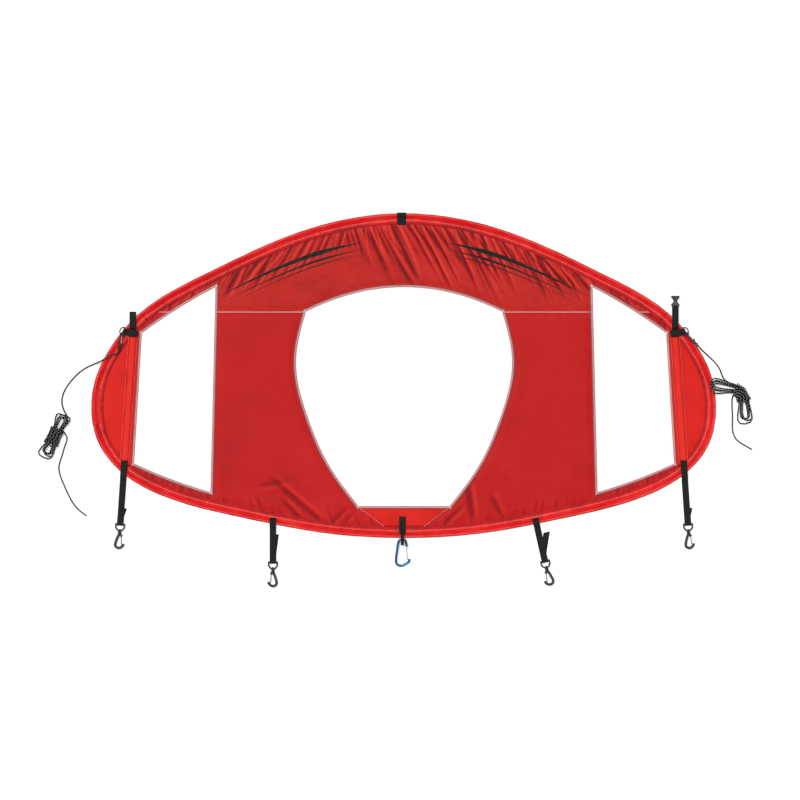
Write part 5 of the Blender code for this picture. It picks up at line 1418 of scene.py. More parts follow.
    def relief(self, points: np.ndarray, pinned: np.ndarray, upper: bool) -> tuple[np.ndarray, np.ndarray]:
        """Returns the cloth's rise and the painted light and shade of its folds, none where it is sewn down.

        Args:
            points: places in the plane.
            pinned: their distance from the nearest sewn line.
            upper: whether this is the upper, wrinkled panel.
        """
        way, depth = self.hoop.nearest(points)
        free = smoothed(pinned, -0.001, 0.012)
        x, y = points.T
        slow = 0.5 * self.broad.at(x, y) + 0.3 * self.middle.at(x, y)
        pucker = np.exp(-np.maximum(depth - LAYERS.reach, 0) / self.pucker_fade)
        pucker = self.rim_pucker.at(way, depth) * pucker
        near = self.seam_pucker.at(x, y) * np.exp(-pinned / self.pucker_fade)
        folds = np.zeros(len(points))
        for crease in [*self.creases, *(c for comb in self.combs for c in comb.creases(self.hoop))]:
            folds += crease.relief(points)
        fine = noise(x / 0.02 + 1.5 * slow, y / 0.0045, 45) * (0.5 if upper else 0.25)
        rise = free * (self.slack * (0.5 + 0.5 * slow) + self.tone_depth * self.stand + folds)
        rise += self.pucker_depth * free * (pucker + 0.7 * near + 0.4 * fine)
        # Painted shade in the hollows of the folds and puckers and a painted highlight on their ridges, with
        # the broad waves' painted light and shade
        crease = 0.22 * slow + 0.3 * pucker + folds / self.tone_depth + 0.14 * near + 0.16 * fine
        return np.maximum(rise, 0), np.clip(crease, -1, 1)

    def panel(
        self, name: str, outlines: list[np.ndarray], finish: CoatedNylon, slot: str,
        sewn: list[tuple[np.ndarray, bool]], under: np.ndarray | None = None,
    ) -> None:
        """Builds one panel as a sheet with its relief.

        Args:
            name: the node's name.
            outlines: the panel's border and its openings.
            finish: its cloth.
            slot: the record's slot.
            sewn: the lines that it is sewn down on, each with whether it is closed.
            under: a line past which the panel passes under its neighbour.
        """
        flat, faces = filled(outlines, self.fine_step if finish is UPPER_CLOTH else self.step)
        pinned = self.hoop.nearest(flat)[1] - LAYERS.reach - 0.002
        for line, closed in sewn:
            pinned = np.minimum(pinned, away_from(flat, line, closed) - self.film_margin)
        patch = self.patch()
        pinned = np.minimum(pinned, np.where(inside(flat, [patch]), 0.0, away_from(flat, patch)))
        rise, crease = self.relief(flat, np.maximum(pinned, 0), finish is UPPER_CLOTH)
        if slot == "end":
            rise, crease = rise * self.end_share, crease * self.end_share
        height = LAYERS.cloth_top + rise
        if under is not None:
            normal = np.array([-(under[1] - under[0])[1], (under[1] - under[0])[0]])
            over = ((flat - under[0]) @ normal) / np.linalg.norm(normal)
            height = height - (LAYERS.cloth + 0.00005) * smoothed(over, -0.004, 0.0)
        verts, all_faces = doubled(at_height(flat, height), faces, LAYERS.cloth - 0.0001)
        obj = piece(f"{name}_cloth", verts, all_faces, finish)
        write_tone_and_painted_light(obj.data, np.tile(crease, 2))
        way, depth = self.hoop.nearest(flat)
        top = self.hoop.control(6)
        write_map(obj.data, "Rim", np.tile(np.stack([way - top, depth], axis=1), (2, 1)))
        dress(obj, slot, name)

    def build(self) -> None:
        """Builds the panels, the windows, the patch and the stitches that join them."""
        region = spaced(self.hoop.inset(LAYERS.slope + 2 * LAYERS.gap), 0.005, closed=True)
        openings = self.openings()
        films = {n: (self.widened(o, self.film_margin / 2), True) for n, o in openings.items()}
        middle = region
        dividers = {}
        for name, side in SIDES.items():
            top, low = (self.hoop.place(self.side_shares[k], side) for k in (0, 3))
            along = (low - top) / np.linalg.norm(low - top)
            out = np.array([-along[1], along[0]]) * side
            middle = self.cut(middle, top - out * LAYERS.gap / 2, -out)
            outer = self.cut(region, top - out * self.lap, out)
            dividers[name] = (top, low, out)
            line = np.array([top, low])[:: side]
            self.panel(f"end_panel_{name}", [outer, openings[name]], END_CLOTH, "end", [films[name]], line)
        seam = self.hoop.place((0, self.seam_share))[1]
        holes = list(openings.values())
        lower = self.cut(middle, np.array([0, seam]), np.array([0.0, -1.0]))
        upper = self.cut(middle, np.array([0, seam - self.lap]), np.array([0.0, 1.0]))
        line = np.array([[1.0, seam], [-1.0, seam]])
        sewn = list(films.values()) + [(line, False)]
        self.panel("lower_panel", [lower, *holes], LOWER_CLOTH, "panel", sewn)
        self.panel("upper_panel", [upper, *holes], UPPER_CLOTH, "upper", sewn, under=line)
        self.build_windows(openings)
        self.build_patch()
        self.build_seams(seam)

    def build_windows(self, openings: dict[str, np.ndarray]) -> None:
        """Builds the clear films with their cut edges, and the zigzag that holds them."""
        rows, knots = [], []
        for name, opening in openings.items():
            outline = self.widened(opening, self.film_margin)
            flat, faces = filled([outline], self.film_step)
            open_part = smoothed(away_from(flat, outline) - 1.3 * self.film_margin, 0.0, 0.05)
            x, y = flat.T
            wave = 0.6 * self.film_waves[0].at(x, y) + 0.4 * self.film_waves[1].at(x, y)
            height = LAYERS.on_cloth + LAYERS.film + self.film_swell * open_part * (0.5 + 0.5 * wave)
            rim = int((away_from(flat, outline) < 1e-6).sum())
            flare = np.zeros((len(flat), 3))
            flare[:rim, :2] = -normals_of(flat[:rim], True) * self.film_slope
            if inside(flat[:1] + flare[:1, :2], [flat[:rim]])[0]:
                flare = -flare
            verts, all_faces = doubled(at_height(flat, height), faces, LAYERS.film, flare)
            obj = piece(f"window_{name}_film", verts, all_faces, FILM)
            # The film's cut edge takes a painted shade
            obj.data.materials.append(FILM_EDGE_SHADE.made())
            for polygon in list(obj.data.polygons)[2 * len(faces) :]:
                polygon.material_index = 1
                polygon.use_smooth = False
            dress(obj, "pane", f"window_{name}")
            line = self.widened(opening, self.film_margin * 0.5)
            line = np.vstack([line, line[:1]])
            rows.append(at_height(line, LAYERS.on_cloth + LAYERS.film + 0.0001))
            knots += self.knots(opening)
        STITCHES.row("window_stitches", rows, StitchKind.FILM, PALE_THREAD, "pane")
        STITCHES.row("window_knots", knots, StitchKind.TACK, PALE_THREAD, "pane")

    def knots(self, opening: np.ndarray) -> list[np.ndarray]:
        """Returns short back-and-forth lines over the corners of an opening's seam."""
        before = opening - np.roll(opening, 1, axis=0)
        after = np.roll(opening, -1, axis=0) - opening
        out = []
        for corner, a, b in zip(opening, before, after):
            a, b = a / np.linalg.norm(a), b / np.linalg.norm(b)
            if a @ b > math.cos(self.knot_turn):
                continue
            away = (a - b) / np.linalg.norm(a - b)
            middle = corner + away * self.film_margin * 0.5
            for across in self.knot_lines:
                shift = np.array([-away[1], away[0]]) * across
                ends = np.array([middle - away * self.knot_half, middle + away * self.knot_half]) + shift
                out.append(at_height(ends, LAYERS.on_cloth + LAYERS.film + 0.0004))
        return out

    def patch(self) -> np.ndarray:
        """Returns the outline of the reinforcement at the bottom centre, low along the rim's edge."""
        (wide, high), (narrow, _) = self.patch_shares
        rim = self.hoop.inset(LAYERS.reach + 0.0009)
        rim = rim[rim[:, 1] < 0.1]
        rim = rim[np.argsort(rim[:, 0])]
        across = np.linspace(-1, 1, 9) * narrow * self.hoop.width / 2
        low = np.column_stack([across, np.interp(across, rim[:, 0], rim[:, 1])])
        return np.vstack([low, [self.hoop.place((wide, high)), self.hoop.place((-wide, high))]])

    def build_patch(self) -> None:
        """Builds the reinforcement at the bottom centre and its slanting seams."""
        corners = self.patch()
        flat, faces = filled([corners], self.patch_step)
        x, y = flat.T
        free = smoothed(away_from(flat, corners), 0.001, 0.01)
        rise = self.pucker_depth * free * (0.5 + 0.5 * self.patch_rise.at(x, y))
        top = LAYERS.on_cloth + LAYERS.cloth
        verts, all_faces = doubled(at_height(flat, top + rise), faces, LAYERS.cloth)
        obj = piece("tack_patch_cloth", verts, all_faces, END_CLOTH)
        write_tone_and_painted_light(obj.data, np.tile(0.3 * self.patch_tone.at(x, y), 2))
        dress(obj, "end", "tack_patch")
        rows = []
        for side in SIDES.values():
            a, b = (corners[-1], corners[0]) if side < 0 else (corners[-2], corners[-3])
            shift = np.array([-side * 0.003, 0])
            rows.append(at_height(spaced(np.array([a, b]) + shift, self.seam_step), top + 0.0002))
        STITCHES.row("patch_stitches", rows, StitchKind.SEAM, RED_THREAD, "end")

    def build_seams(self, seam: float) -> None:
        """Stitches the cross seam between the windows and out to the rim."""
        outer = self.side_shares[1][0] * self.hoop.width / 2 - self.seam_edges[0]
        inner = self.middle_shares[0][0] * self.hoop.width / 2 + self.seam_edges[1]
        rows = []
        for side in SIDES.values():
            for first, last in ((outer, inner), self.end_seam):
                rows.append(np.array([[side * first, seam], [side * last, seam]]))
        rows = [at_height(spaced(r, self.seam_step), LAYERS.cloth_top + 0.0003) for r in rows]
        STITCHES.row("cross_seam_stitches", rows, StitchKind.SEAM, PALE_THREAD, "upper")


@dataclass
class Webbing:
    """Black webbing: straps, tabs and loops, each swept along its side view."""

    hoop: HoopLine
    fold_steps: int = 14
    bend: float = 0.004
    strap_shares: tuple = ((0.8736, 0.62), (0.9146, 0.038))
    lower_shares: tuple = (0.4225, 0.0566)
    lower_length: float = 0.1075
    lower_leans: tuple = (0.0, math.radians(12.8))
    eye_bar: float = 0.002
    barrel: float = 0.0046
    side_tail: float = 0.039
    lower_tail: float = 0.068
    # How far each strap's loose end is turned aside
    tail_shifts: dict = field(
        default_factory=lambda: {"side": 0.006, "lower_left": 0.0065, "lower_right": 0.02}
    )
    pocket_length: float = 0.302
    pocket_wall: float = 0.0006
    pocket_flange: float = 0.0033
    pocket_step: float = 0.004
    pocket_seam: float = 0.0015
    pocket_lip: float = 0.001
    # The slow and the fine relief of the pockets, and their tone
    pocket_slow: Ripple = Ripple(0.05, 0.02, 71)
    pocket_fine: Ripple = Ripple(0.012, 0.006, 72)
    pocket_tone: Ripple = Ripple(0.03, 0.01, 73)
    corner_shares: tuple = (0.8736, 0.624)
    corner_lengths: tuple = (0.0585, 0.075)
    ring_shares: tuple = (0.901, 0.6367)
    ring_lean: float = math.radians(10.0)
    ring_wire: float = 0.0014
    ring_tab_length: float = 0.033
    ring_tab_pinch: float = 0.01
    ring_tab_lift: float = 0.0012
    # The band's section: shares of its half width, and of its half thickness
    band_shares: tuple = (-1, -1, -0.93, -0.6, 0, 0.6, 0.93, 1, 1, 0.93, 0.6, 0, -0.6, -0.93)
    band_levels: tuple = (-0.45, 0.45, 1, 1.04, 1.12, 1.04, 1, 0.45, -0.45, -1, -1, -1, -1, -1)
    tack_margin: float = 0.0022
    tack_points: int = 9
    eye_tack: float = 0.014
    top_place: float = -0.006
    top_half: float = 0.011
    top_reach: float = 0.025
    top_corner: float = 0.0044
    top_ease: float = 1.03
    bottom_place: float = -0.004
    bottom_reach: float = 0.022
    patch_low: float = 0.0335
    # Half the loop's width where the carabiner's bow swings, the bow's radius and the loop's far end
    loop_half: float = 0.0039
    loop_rod: float = 0.00315
    loop_end: float = -0.0215

    def frame(self, origin: np.ndarray, angle: float) -> Matrix:
        """Returns a frame turned about Z at a point of the plane."""
        return Matrix.Translation((origin[0], origin[1], 0)) @ Matrix.Rotation(angle, 4, "Z")

    def rounded(self, path: list[tuple[float, ...]]) -> np.ndarray:
        """Rounds the corners of a side view's path; further columns are carried along."""
        path = np.array(path, float)
        out = [path[0]]
        for before, here, after in zip(path, path[1:], path[2:]):
            arms = [before - here, after - here]
            sizes = [np.linalg.norm(a[:2]) for a in arms]
            cut = [min(0.45, self.bend / 2 / max(s, 1e-9)) for s in sizes]
            a, b = here + arms[0] * cut[0], here + arms[1] * cut[1]
            for t in (0.0, 0.25, 0.5, 0.75, 1.0):
                out.append((1 - t) ** 2 * a + 2 * t * (1 - t) * here + t * t * b)
        out.append(path[-1])
        return spaced_keep(np.array(out), 0.002)

    def ribbon(self, name: str, path: list, halves: list[float], frame: Matrix, node: str) -> None:
        """Sweeps webbing along a side view's path.

        Args:
            name: the piece's name.
            path: points of (along, height) or (along, height, sideways shift).
            halves: half the width at each point.
            frame: where the side view stands.
            node: the node that it replaces.
        """
        table = [(p[0], p[1], h, p[2] if len(p) > 2 else 0.0) for p, h in zip(path, halves)]
        line = self.rounded(table)
        up = normals_of(line[:, :2], False)
        width, thick = line[:, 2], LAYERS.web / 2
        rings = []
        for share, level in zip(self.band_shares, self.band_levels):
            side = width * share + line[:, 3]
            spot = line[:, :2] + up * thick * level
            rings.append(np.column_stack([side, spot]))
        verts = np.stack(rings, axis=1)
        faces = tube_faces(*verts.shape[:2])
        obj = piece(name, placed(verts.reshape(-1, 3), frame), faces, BLACK_WEB)
        along = ways_along(line[:, :2])
        places = np.stack([np.stack([width * s, along], axis=1) for s in self.band_shares], axis=1)
        write_map(obj.data, "Weave", places.reshape(-1, 2))
        outward(obj.data)
        dress(obj, "web", node)

    def fold(self, center: tuple[float, float], radius: float, start: float, turn: float) -> list:
        """Returns the points of a fold, an arc in the side view."""
        out = []
        for step in range(self.fold_steps + 1):
            angle = start + turn * step / self.fold_steps
            out.append((center[0] + radius * math.cos(angle), center[1] + radius * math.sin(angle)))
        return out

    def tacks(self, name: str, frame: Matrix, spots: list[tuple[float, float]], half: float) -> None:
        """Sews bar tacks across webbing at (along, height) spots of its side view."""
        rows = []
        for along, height in spots:
            x = np.linspace(-half + self.tack_margin, half - self.tack_margin, self.tack_points)
            local = np.column_stack([x, x * 0 + along, x * 0 + height + LAYERS.web / 2 + 0.0002])
            rows.append(placed(local, frame))
        STITCHES.row(name, rows, StitchKind.TACK, BLACK_THREAD, "web")

    def strap_end(self, start: float, tail: float, shift: float) -> list:
        """Returns a strap's path down to its eye, round the bar and back under itself."""
        radius = self.eye_bar + LAYERS.gap + LAYERS.web / 2
        center = max(self.eye_bar + LAYERS.gap + LAYERS.web, self.barrel + LAYERS.gap)
        path = [(start, LAYERS.web_on_web), (8 * radius, LAYERS.web_on_web)]
        path += self.fold((0, center), radius, math.pi / 2, math.pi)
        return path + [(6 * radius, LAYERS.web / 2), (tail, LAYERS.web / 2, shift)]

    def side_strap(self, name: str, side: int) -> None:
        """Builds a side strap and its pocket."""
        top, bar = (self.hoop.place(s, side) for s in self.strap_shares)
        along = top - bar
        size = float(np.linalg.norm(along))
        frame = self.frame(bar, math.atan2(-along[0], along[1]))
        half = LAYERS.web_width / 2
        cross = self.hoop.crossing
        tube_low = cross(frame, half, -LAYERS.tube, 0, size / 2)[0]
        tube_high = cross(frame, half, LAYERS.tube, 0, size / 2)[1]
        slope_high = cross(frame, half, LAYERS.slope, 0, size / 2)[1] + LAYERS.web
        wide = half + 2 * LAYERS.gap + self.pocket_wall + self.pocket_flange
        tail_high = cross(frame, wide, LAYERS.reach, 0, size / 2)[1] + 2 * LAYERS.web
        upper_tail = cross(frame, wide, LAYERS.reach, size / 2, 2 * size)[0] - 2 * LAYERS.web
        on_web, on_top, on_tube = LAYERS.on_cloth + LAYERS.web / 2, LAYERS.web_on_tail, LAYERS.web_on_tube
        low = size - self.pocket_length
        levels = [
            (low, LAYERS.on_tail), (tail_high, LAYERS.on_tail), (tail_high + LAYERS.ramp, LAYERS.on_cloth),
            (upper_tail - LAYERS.ramp, LAYERS.on_cloth), (upper_tail, LAYERS.on_tail), (size, LAYERS.on_tail),
        ]
        self.pocket(name, frame, levels)
        path = [(upper_tail - LAYERS.ramp, on_web), (tail_high + LAYERS.ramp, on_web), (tail_high, on_top)]
        path += [(slope_high, on_top), (tube_high, on_tube), (tube_low, on_tube)]
        path += self.strap_end(tube_low - LAYERS.ramp, self.side_tail, self.tail_shifts["side"])
        self.ribbon(f"strap_{name}_web", path, [half] * len(path), frame, f"strap_{name}")
        spots = [(self.eye_tack, LAYERS.web_on_web), (self.side_tail - 0.004, LAYERS.web_on_web)]
        self.tacks(f"strap_{name}_tacks", frame, spots, half)

    def pocket(self, name: str, frame: Matrix, levels: list[tuple[float, float]]) -> None:
        """Builds the stitched channel that a side strap runs through.

        Args:
            name: the side.
            frame: the strap's frame.
            levels: the height that the channel rests on, at ways along it.
        """
        half = LAYERS.web_width / 2
        edge = half + LAYERS.gap + self.pocket_wall + self.pocket_flange
        ways = np.array([w for w, _ in levels])
        along = np.linspace(ways[0], ways[-1], round((ways[-1] - ways[0]) / self.pocket_step) + 1)
        flange = np.linspace(half + self.pocket_lip, edge, 4)
        across = np.concatenate([-flange[::-1], np.linspace(-half, half, 15), flange])
        base = np.interp(along, ways, [z for _, z in levels])[:, None]
        s, x = np.meshgrid(along, across, indexing="ij")
        bulge = LAYERS.web + LAYERS.gap + 0.0005 + 0.0004 * self.pocket_slow.at(s, x)
        arch = smoothed(half + self.pocket_wall + 0.0012 - np.abs(x), 0.0, 0.0042)
        arch = arch * (1 - 0.25 * (x / half) ** 2)
        height = base + self.pocket_wall + bulge * arch + 0.00015 * self.pocket_fine.at(s, x)
        local = np.stack([x, s, height], axis=2).reshape(-1, 3)
        rows, count = s.shape
        i, j = np.meshgrid(np.arange(rows - 1), np.arange(count - 1), indexing="ij")
        a = (i * count + j).ravel()
        tris = np.vstack([np.stack([a, a + 1, a + count + 1], 1), np.stack([a, a + count + 1, a + count], 1)])
        verts, faces = doubled(local, tris, self.pocket_wall)
        obj = piece(f"pocket_{name}_cloth", placed(verts, frame), faces, END_CLOTH)
        # A painted highlight on the pocket's rounded top and painted shade on its flanks, with some plain
        # tone
        crease = np.clip(1.1 * arch - 0.35 + 0.3 * self.pocket_tone.at(s, x), -1, 1).ravel()
        write_tone_and_painted_light(obj.data, np.tile(crease, 2))
        outward(obj.data)
        dress(obj, "end", f"pocket_{name}")
        height = base[:, 0] + self.pocket_wall + 0.0002
        seams = []
        for spot in (-edge + self.pocket_seam, edge - self.pocket_seam):
            seams.append(placed(np.column_stack([np.full(rows, spot), along, height]), frame))
        STITCHES.row(f"pocket_{name}_stitches", seams, StitchKind.STRAIGHT, RED_THREAD, "end")

    def lower_strap(self, name: str, side: int, lean: float) -> None:
        """Builds a lower strap, sewn to the rim sleeve."""
        sewn = self.hoop.place(self.lower_shares, side)
        angle = side * lean
        down = np.array([math.sin(angle), -math.cos(angle)])
        frame = self.frame(sewn + down * self.lower_length, angle)
        half = LAYERS.web_width / 2
        span = 0.0, 2 * self.lower_length
        tube_low = self.hoop.crossing(frame, half, -LAYERS.tube, *span)[0]
        tube_high = self.hoop.crossing(frame, half, LAYERS.tube, *span)[1]
        slope_high = self.hoop.crossing(frame, half, LAYERS.slope, *span)[1] + LAYERS.web
        on_top, on_tube = LAYERS.web_on_tail, LAYERS.web_on_tube
        path = [(self.lower_length, on_top), (slope_high, on_top), (tube_high, on_tube), (tube_low, on_tube)]
        tail = min(self.lower_tail, tube_low - 2 * LAYERS.web)
        path += self.strap_end(tube_low - LAYERS.ramp, tail, self.tail_shifts[name])
        self.ribbon(f"strap_{name}_web", path, [half] * len(path), frame, f"strap_{name}")
        spots = [(self.eye_tack + more, LAYERS.web_on_web) for more in (0.0, 0.005)]
        spots.append((self.lower_length - 0.003, on_top))
        self.tacks(f"strap_{name}_tacks", frame, spots, half)

    def top_tab(self) -> None:
        """Builds the webbing wrapped over the rim at the top centre."""
        top = self.hoop.points[:, 1].max()
        frame = self.frame(np.array([self.top_place, top]), math.pi)
        half, reach, corner = self.top_half, self.top_reach, self.top_corner
        outer = self.hoop.crossing(frame, half, -LAYERS.tube, -reach, reach)[0]
        inner = self.hoop.crossing(frame, half, LAYERS.tube, -reach, reach)[1]
        slope = self.hoop.crossing(frame, half, LAYERS.slope, -reach, reach)[1]
        radius = ((inner - outer) / 2 + LAYERS.gap + LAYERS.web / 2) * self.top_ease
        high = LAYERS.web_on_tail
        path = [(reach, high), (reach - 0.0012, high), (reach - corner, high), (slope + LAYERS.web, high)]
        halves = [half - corner, half - corner * 0.42, half, half]
        for angle in np.radians(np.arange(60, 181, 15)):
            along = (inner + outer) / 2 + radius * math.cos(angle)
            path.append((along, LAYERS.tube + radius * math.sin(angle)))
        path.append((path[-1][0], LAYERS.tube / 2))
        halves += [half] * (len(path) - len(halves))
        self.ribbon("tab_top_web", path, halves, frame, "tab_top")
        self.tacks("tab_top_tacks", frame, [(reach - 0.006, high), (slope + 0.003, high)], half)

    def bottom_tab(self) -> None:
        """Builds the webbing loop that holds the carabiner."""
        low_y = self.hoop.place((0, 0))[1]
        frame = self.frame(np.array([self.bottom_place, low_y]), 0.0)
        half, web = LAYERS.web_width / 2, LAYERS.web
        clear = self.loop_rod + LAYERS.gap + web / 2
        low, on_tail = LAYERS.web_on_tube, LAYERS.web_on_tail
        high = low + 2 * clear
        sewn_low = LAYERS.on_cloth + 0.0005 + LAYERS.gap + web / 2
        sewn = self.hoop.place((0, self.patch_low))[1] - low_y + self.bottom_reach
        lower = [(sewn, sewn_low), (LAYERS.reach + LAYERS.ramp / 2, sewn_low), (LAYERS.reach - web, on_tail)]
        lower += [(LAYERS.slope + web, on_tail), (LAYERS.tube, low)]
        center = (self.loop_end + clear + web / 2, low + clear)
        path = list(lower) + self.fold(center, clear, -math.pi / 2, -math.pi)
        rise = web + LAYERS.gap
        upper = [(s, z + rise) for s, z in lower[::-1][2:]]
        path += [(LAYERS.tube, high), (LAYERS.slope + LAYERS.ramp / 2, on_tail + rise)] + upper[1:]
        halves = [self.loop_half if s < LAYERS.slope else half for s, _ in path]
        self.ribbon("tab_bottom_web", path, halves, frame, "tab_bottom")
        height = sewn_low + rise
        self.tacks("tab_bottom_tacks", frame, [(sewn - 0.003, height), (sewn - 0.008, height)], half)

    def ring_seat(self, side: int) -> tuple[Matrix, float, float]:
        """Returns the frame of a ring's tab, its fold's radius and its lower ply's height."""
        out = np.array([side * math.cos(self.ring_lean), math.sin(self.ring_lean)])
        frame = self.frame(self.hoop.place(self.ring_shares, side), math.atan2(-out[0], out[1]))
        return frame, self.ring_wire + LAYERS.gap + LAYERS.web / 2, LAYERS.web_on_tube + self.ring_tab_lift

    def corner(self, name: str, side: int) -> None:
        """Builds the closure loop or the toggle's strap, and the ring's tab below it."""
        half, web = LAYERS.web_width / 2, LAYERS.web
        ply = web + LAYERS.gap
        length = self.corner_lengths[0 if side < 0 else 1]
        frame = self.frame(self.hoop.place(self.corner_shares, side), 0.0)
        slope = max(self.hoop.crossing(frame, half, LAYERS.slope, -length, 2 * length)[0] - 2 * web, web)
        tube = self.hoop.crossing(frame, half, LAYERS.tube, -length, 2 * length)[0]
        on_tail, on_tube = LAYERS.web_on_tail, LAYERS.web_on_tube
        low = [(0, on_tail), (slope, on_tail), (tube, on_tube)]
        end = length - ply / 2 - web / 2
        path = list(low)
        path += self.fold((end, on_tube + ply / 2), ply / 2, -math.pi / 2, math.pi)
        path += [(s, z + ply) for s, z in low[::-1]]
        node = "closure_loop" if side < 0 else "toggle_strap"
        self.ribbon(f"{node}_web", path, [half] * len(path), frame, node)
        spots = [(0.003, on_tail + ply), (length - 0.02, on_tube + ply)]
        self.tacks(f"{node}_tacks", frame, spots, half)

        frame, fold, low_z = self.ring_seat(side)
        tube = -self.hoop.crossing(frame, half, LAYERS.tube, -self.ring_tab_length, self.ring_tab_length)[0]
        lower = [(-self.ring_tab_length, low_z), (-tube, low_z)]
        path = list(lower) + self.fold((0, low_z + fold), fold, -math.pi / 2, math.pi)
        path += [(-self.ring_tab_pinch, low_z + ply)] + [(s, z + ply) for s, z in lower[::-1]]
        halves = [half if p[0] <= -tube else half - 0.0006 for p in path]
        self.ribbon(f"ring_tab_{name}_web", path, halves, frame, f"ring_tab_{name}")
        self.tacks(f"ring_tab_{name}_tacks", frame, [(-self.ring_tab_pinch - 0.002, low_z + ply)], half)

    def build(self) -> None:
        """Builds all the webbing."""
        for number, (name, side) in enumerate(SIDES.items()):
            self.side_strap(name, side)
            self.lower_strap(f"lower_{name}", side, self.lower_leans[number])
            self.corner(name, side)
        self.top_tab()
        self.bottom_tab()


def spaced_keep(line: np.ndarray, step: float) -> np.ndarray:
    """Adds points to a line's long stretches, so that none is longer than step."""
    out = [line[0]]
    for a, b in zip(line, line[1:]):
        count = max(1, math.ceil(np.linalg.norm((b - a)[:2]) / step))
        out += [a + (b - a) * t / count for t in range(1, count + 1)]
    return np.array(out)


@dataclass
class Hardware:
    """The hooks, rings, carabiner and toggle: the frame's solids, melted smooth as moulded or drawn."""

    frame: dict
    weld: float = 0.00001
    melt: float = 0.5

    def fit(
        self, node: str, name: str, finish: Finish, slot: str, body: str = BODY, voxel: float = 0.00032,
        melts: int = 5,
    ) -> None:
        """Puts a rounded copy of a node's solid in its place.

        Args:
            node: the node's name.
            name: the piece's name.
            finish: its finish.
            slot: the record's slot; not used.
            body: the body that it rides on.
            voxel: the grain of the new skin.
            melts: how many times it is smoothed.
        """
        copy = shown(node + "_melt", self.frame["nodes"][node].data.copy())
        weld = copy.modifiers.new("weld", "WELD")
        weld.merge_threshold = self.weld
        skin = copy.modifiers.new("skin", "REMESH")
        skin.mode = "VOXEL"
        skin.voxel_size = voxel
        melt = copy.modifiers.new("melt", "SMOOTH")
        melt.iterations = melts
        melt.factor = self.melt
        mesh = settled(copy, name)
        mesh.materials.clear()
        mesh.materials.append(finish.made())
        mesh.shade_smooth()
        dress(shown(name, mesh), slot, node, body=body)

    def build(self) -> None:
        """Fits every piece of hardware and dresses the two hidden ones."""
        for name in HOOK_NAMES:
            self.fit(f"hook_eye_{name}", f"swivel_eye_{name}", BLACK_ACETAL, "hook", f"eye_{name}")
            self.fit(f"hook_body_{name}", f"snap_hook_{name}", BLACK_ACETAL, "hook", f"hook_{name}")
            gate = (f"hook_gate_{name}", f"snap_gate_{name}")
            self.fit(*gate, BLACK_ACETAL, "hook", f"gate_{name}", 0.00025, 2)
        self.fit("carabiner_body", "carabiner_rod", BLUE_ANODISED, "blue", "carabiner")
        self.fit("carabiner_gate", "carabiner_wire", STEEL_WIRE, "steel", "carabiner_gate", 0.0002, 2)
        self.fit("closure_toggle", "moulded_toggle", BLACK_ACETAL, "hook")
        for name, clip in zip(SIDES, (BLACK_ACETAL, DARK_STEEL)):
            self.fit(f"d_ring_{name}", f"ring_wire_{name}", DARK_STEEL, "hook", voxel=0.00025)
            self.fit(f"rein_hook_{name}", f"rein_clip_{name}", clip, "hook", voxel=0.00025, melts=3)
            gate = (f"rein_gate_{name}", f"rein_clip_gate_{name}")
            self.fit(*gate, STEEL_WIRE, "steel", f"rein_gate_{name}", 0.00018, 2)
        for node, finish in (("hoop_rod", GLASS_ROD), ("hoop_ferrule", GREY_STEEL)):
            mesh = self.frame["nodes"][node].data
            mesh.materials.clear()
            mesh.materials.append(finish.made())


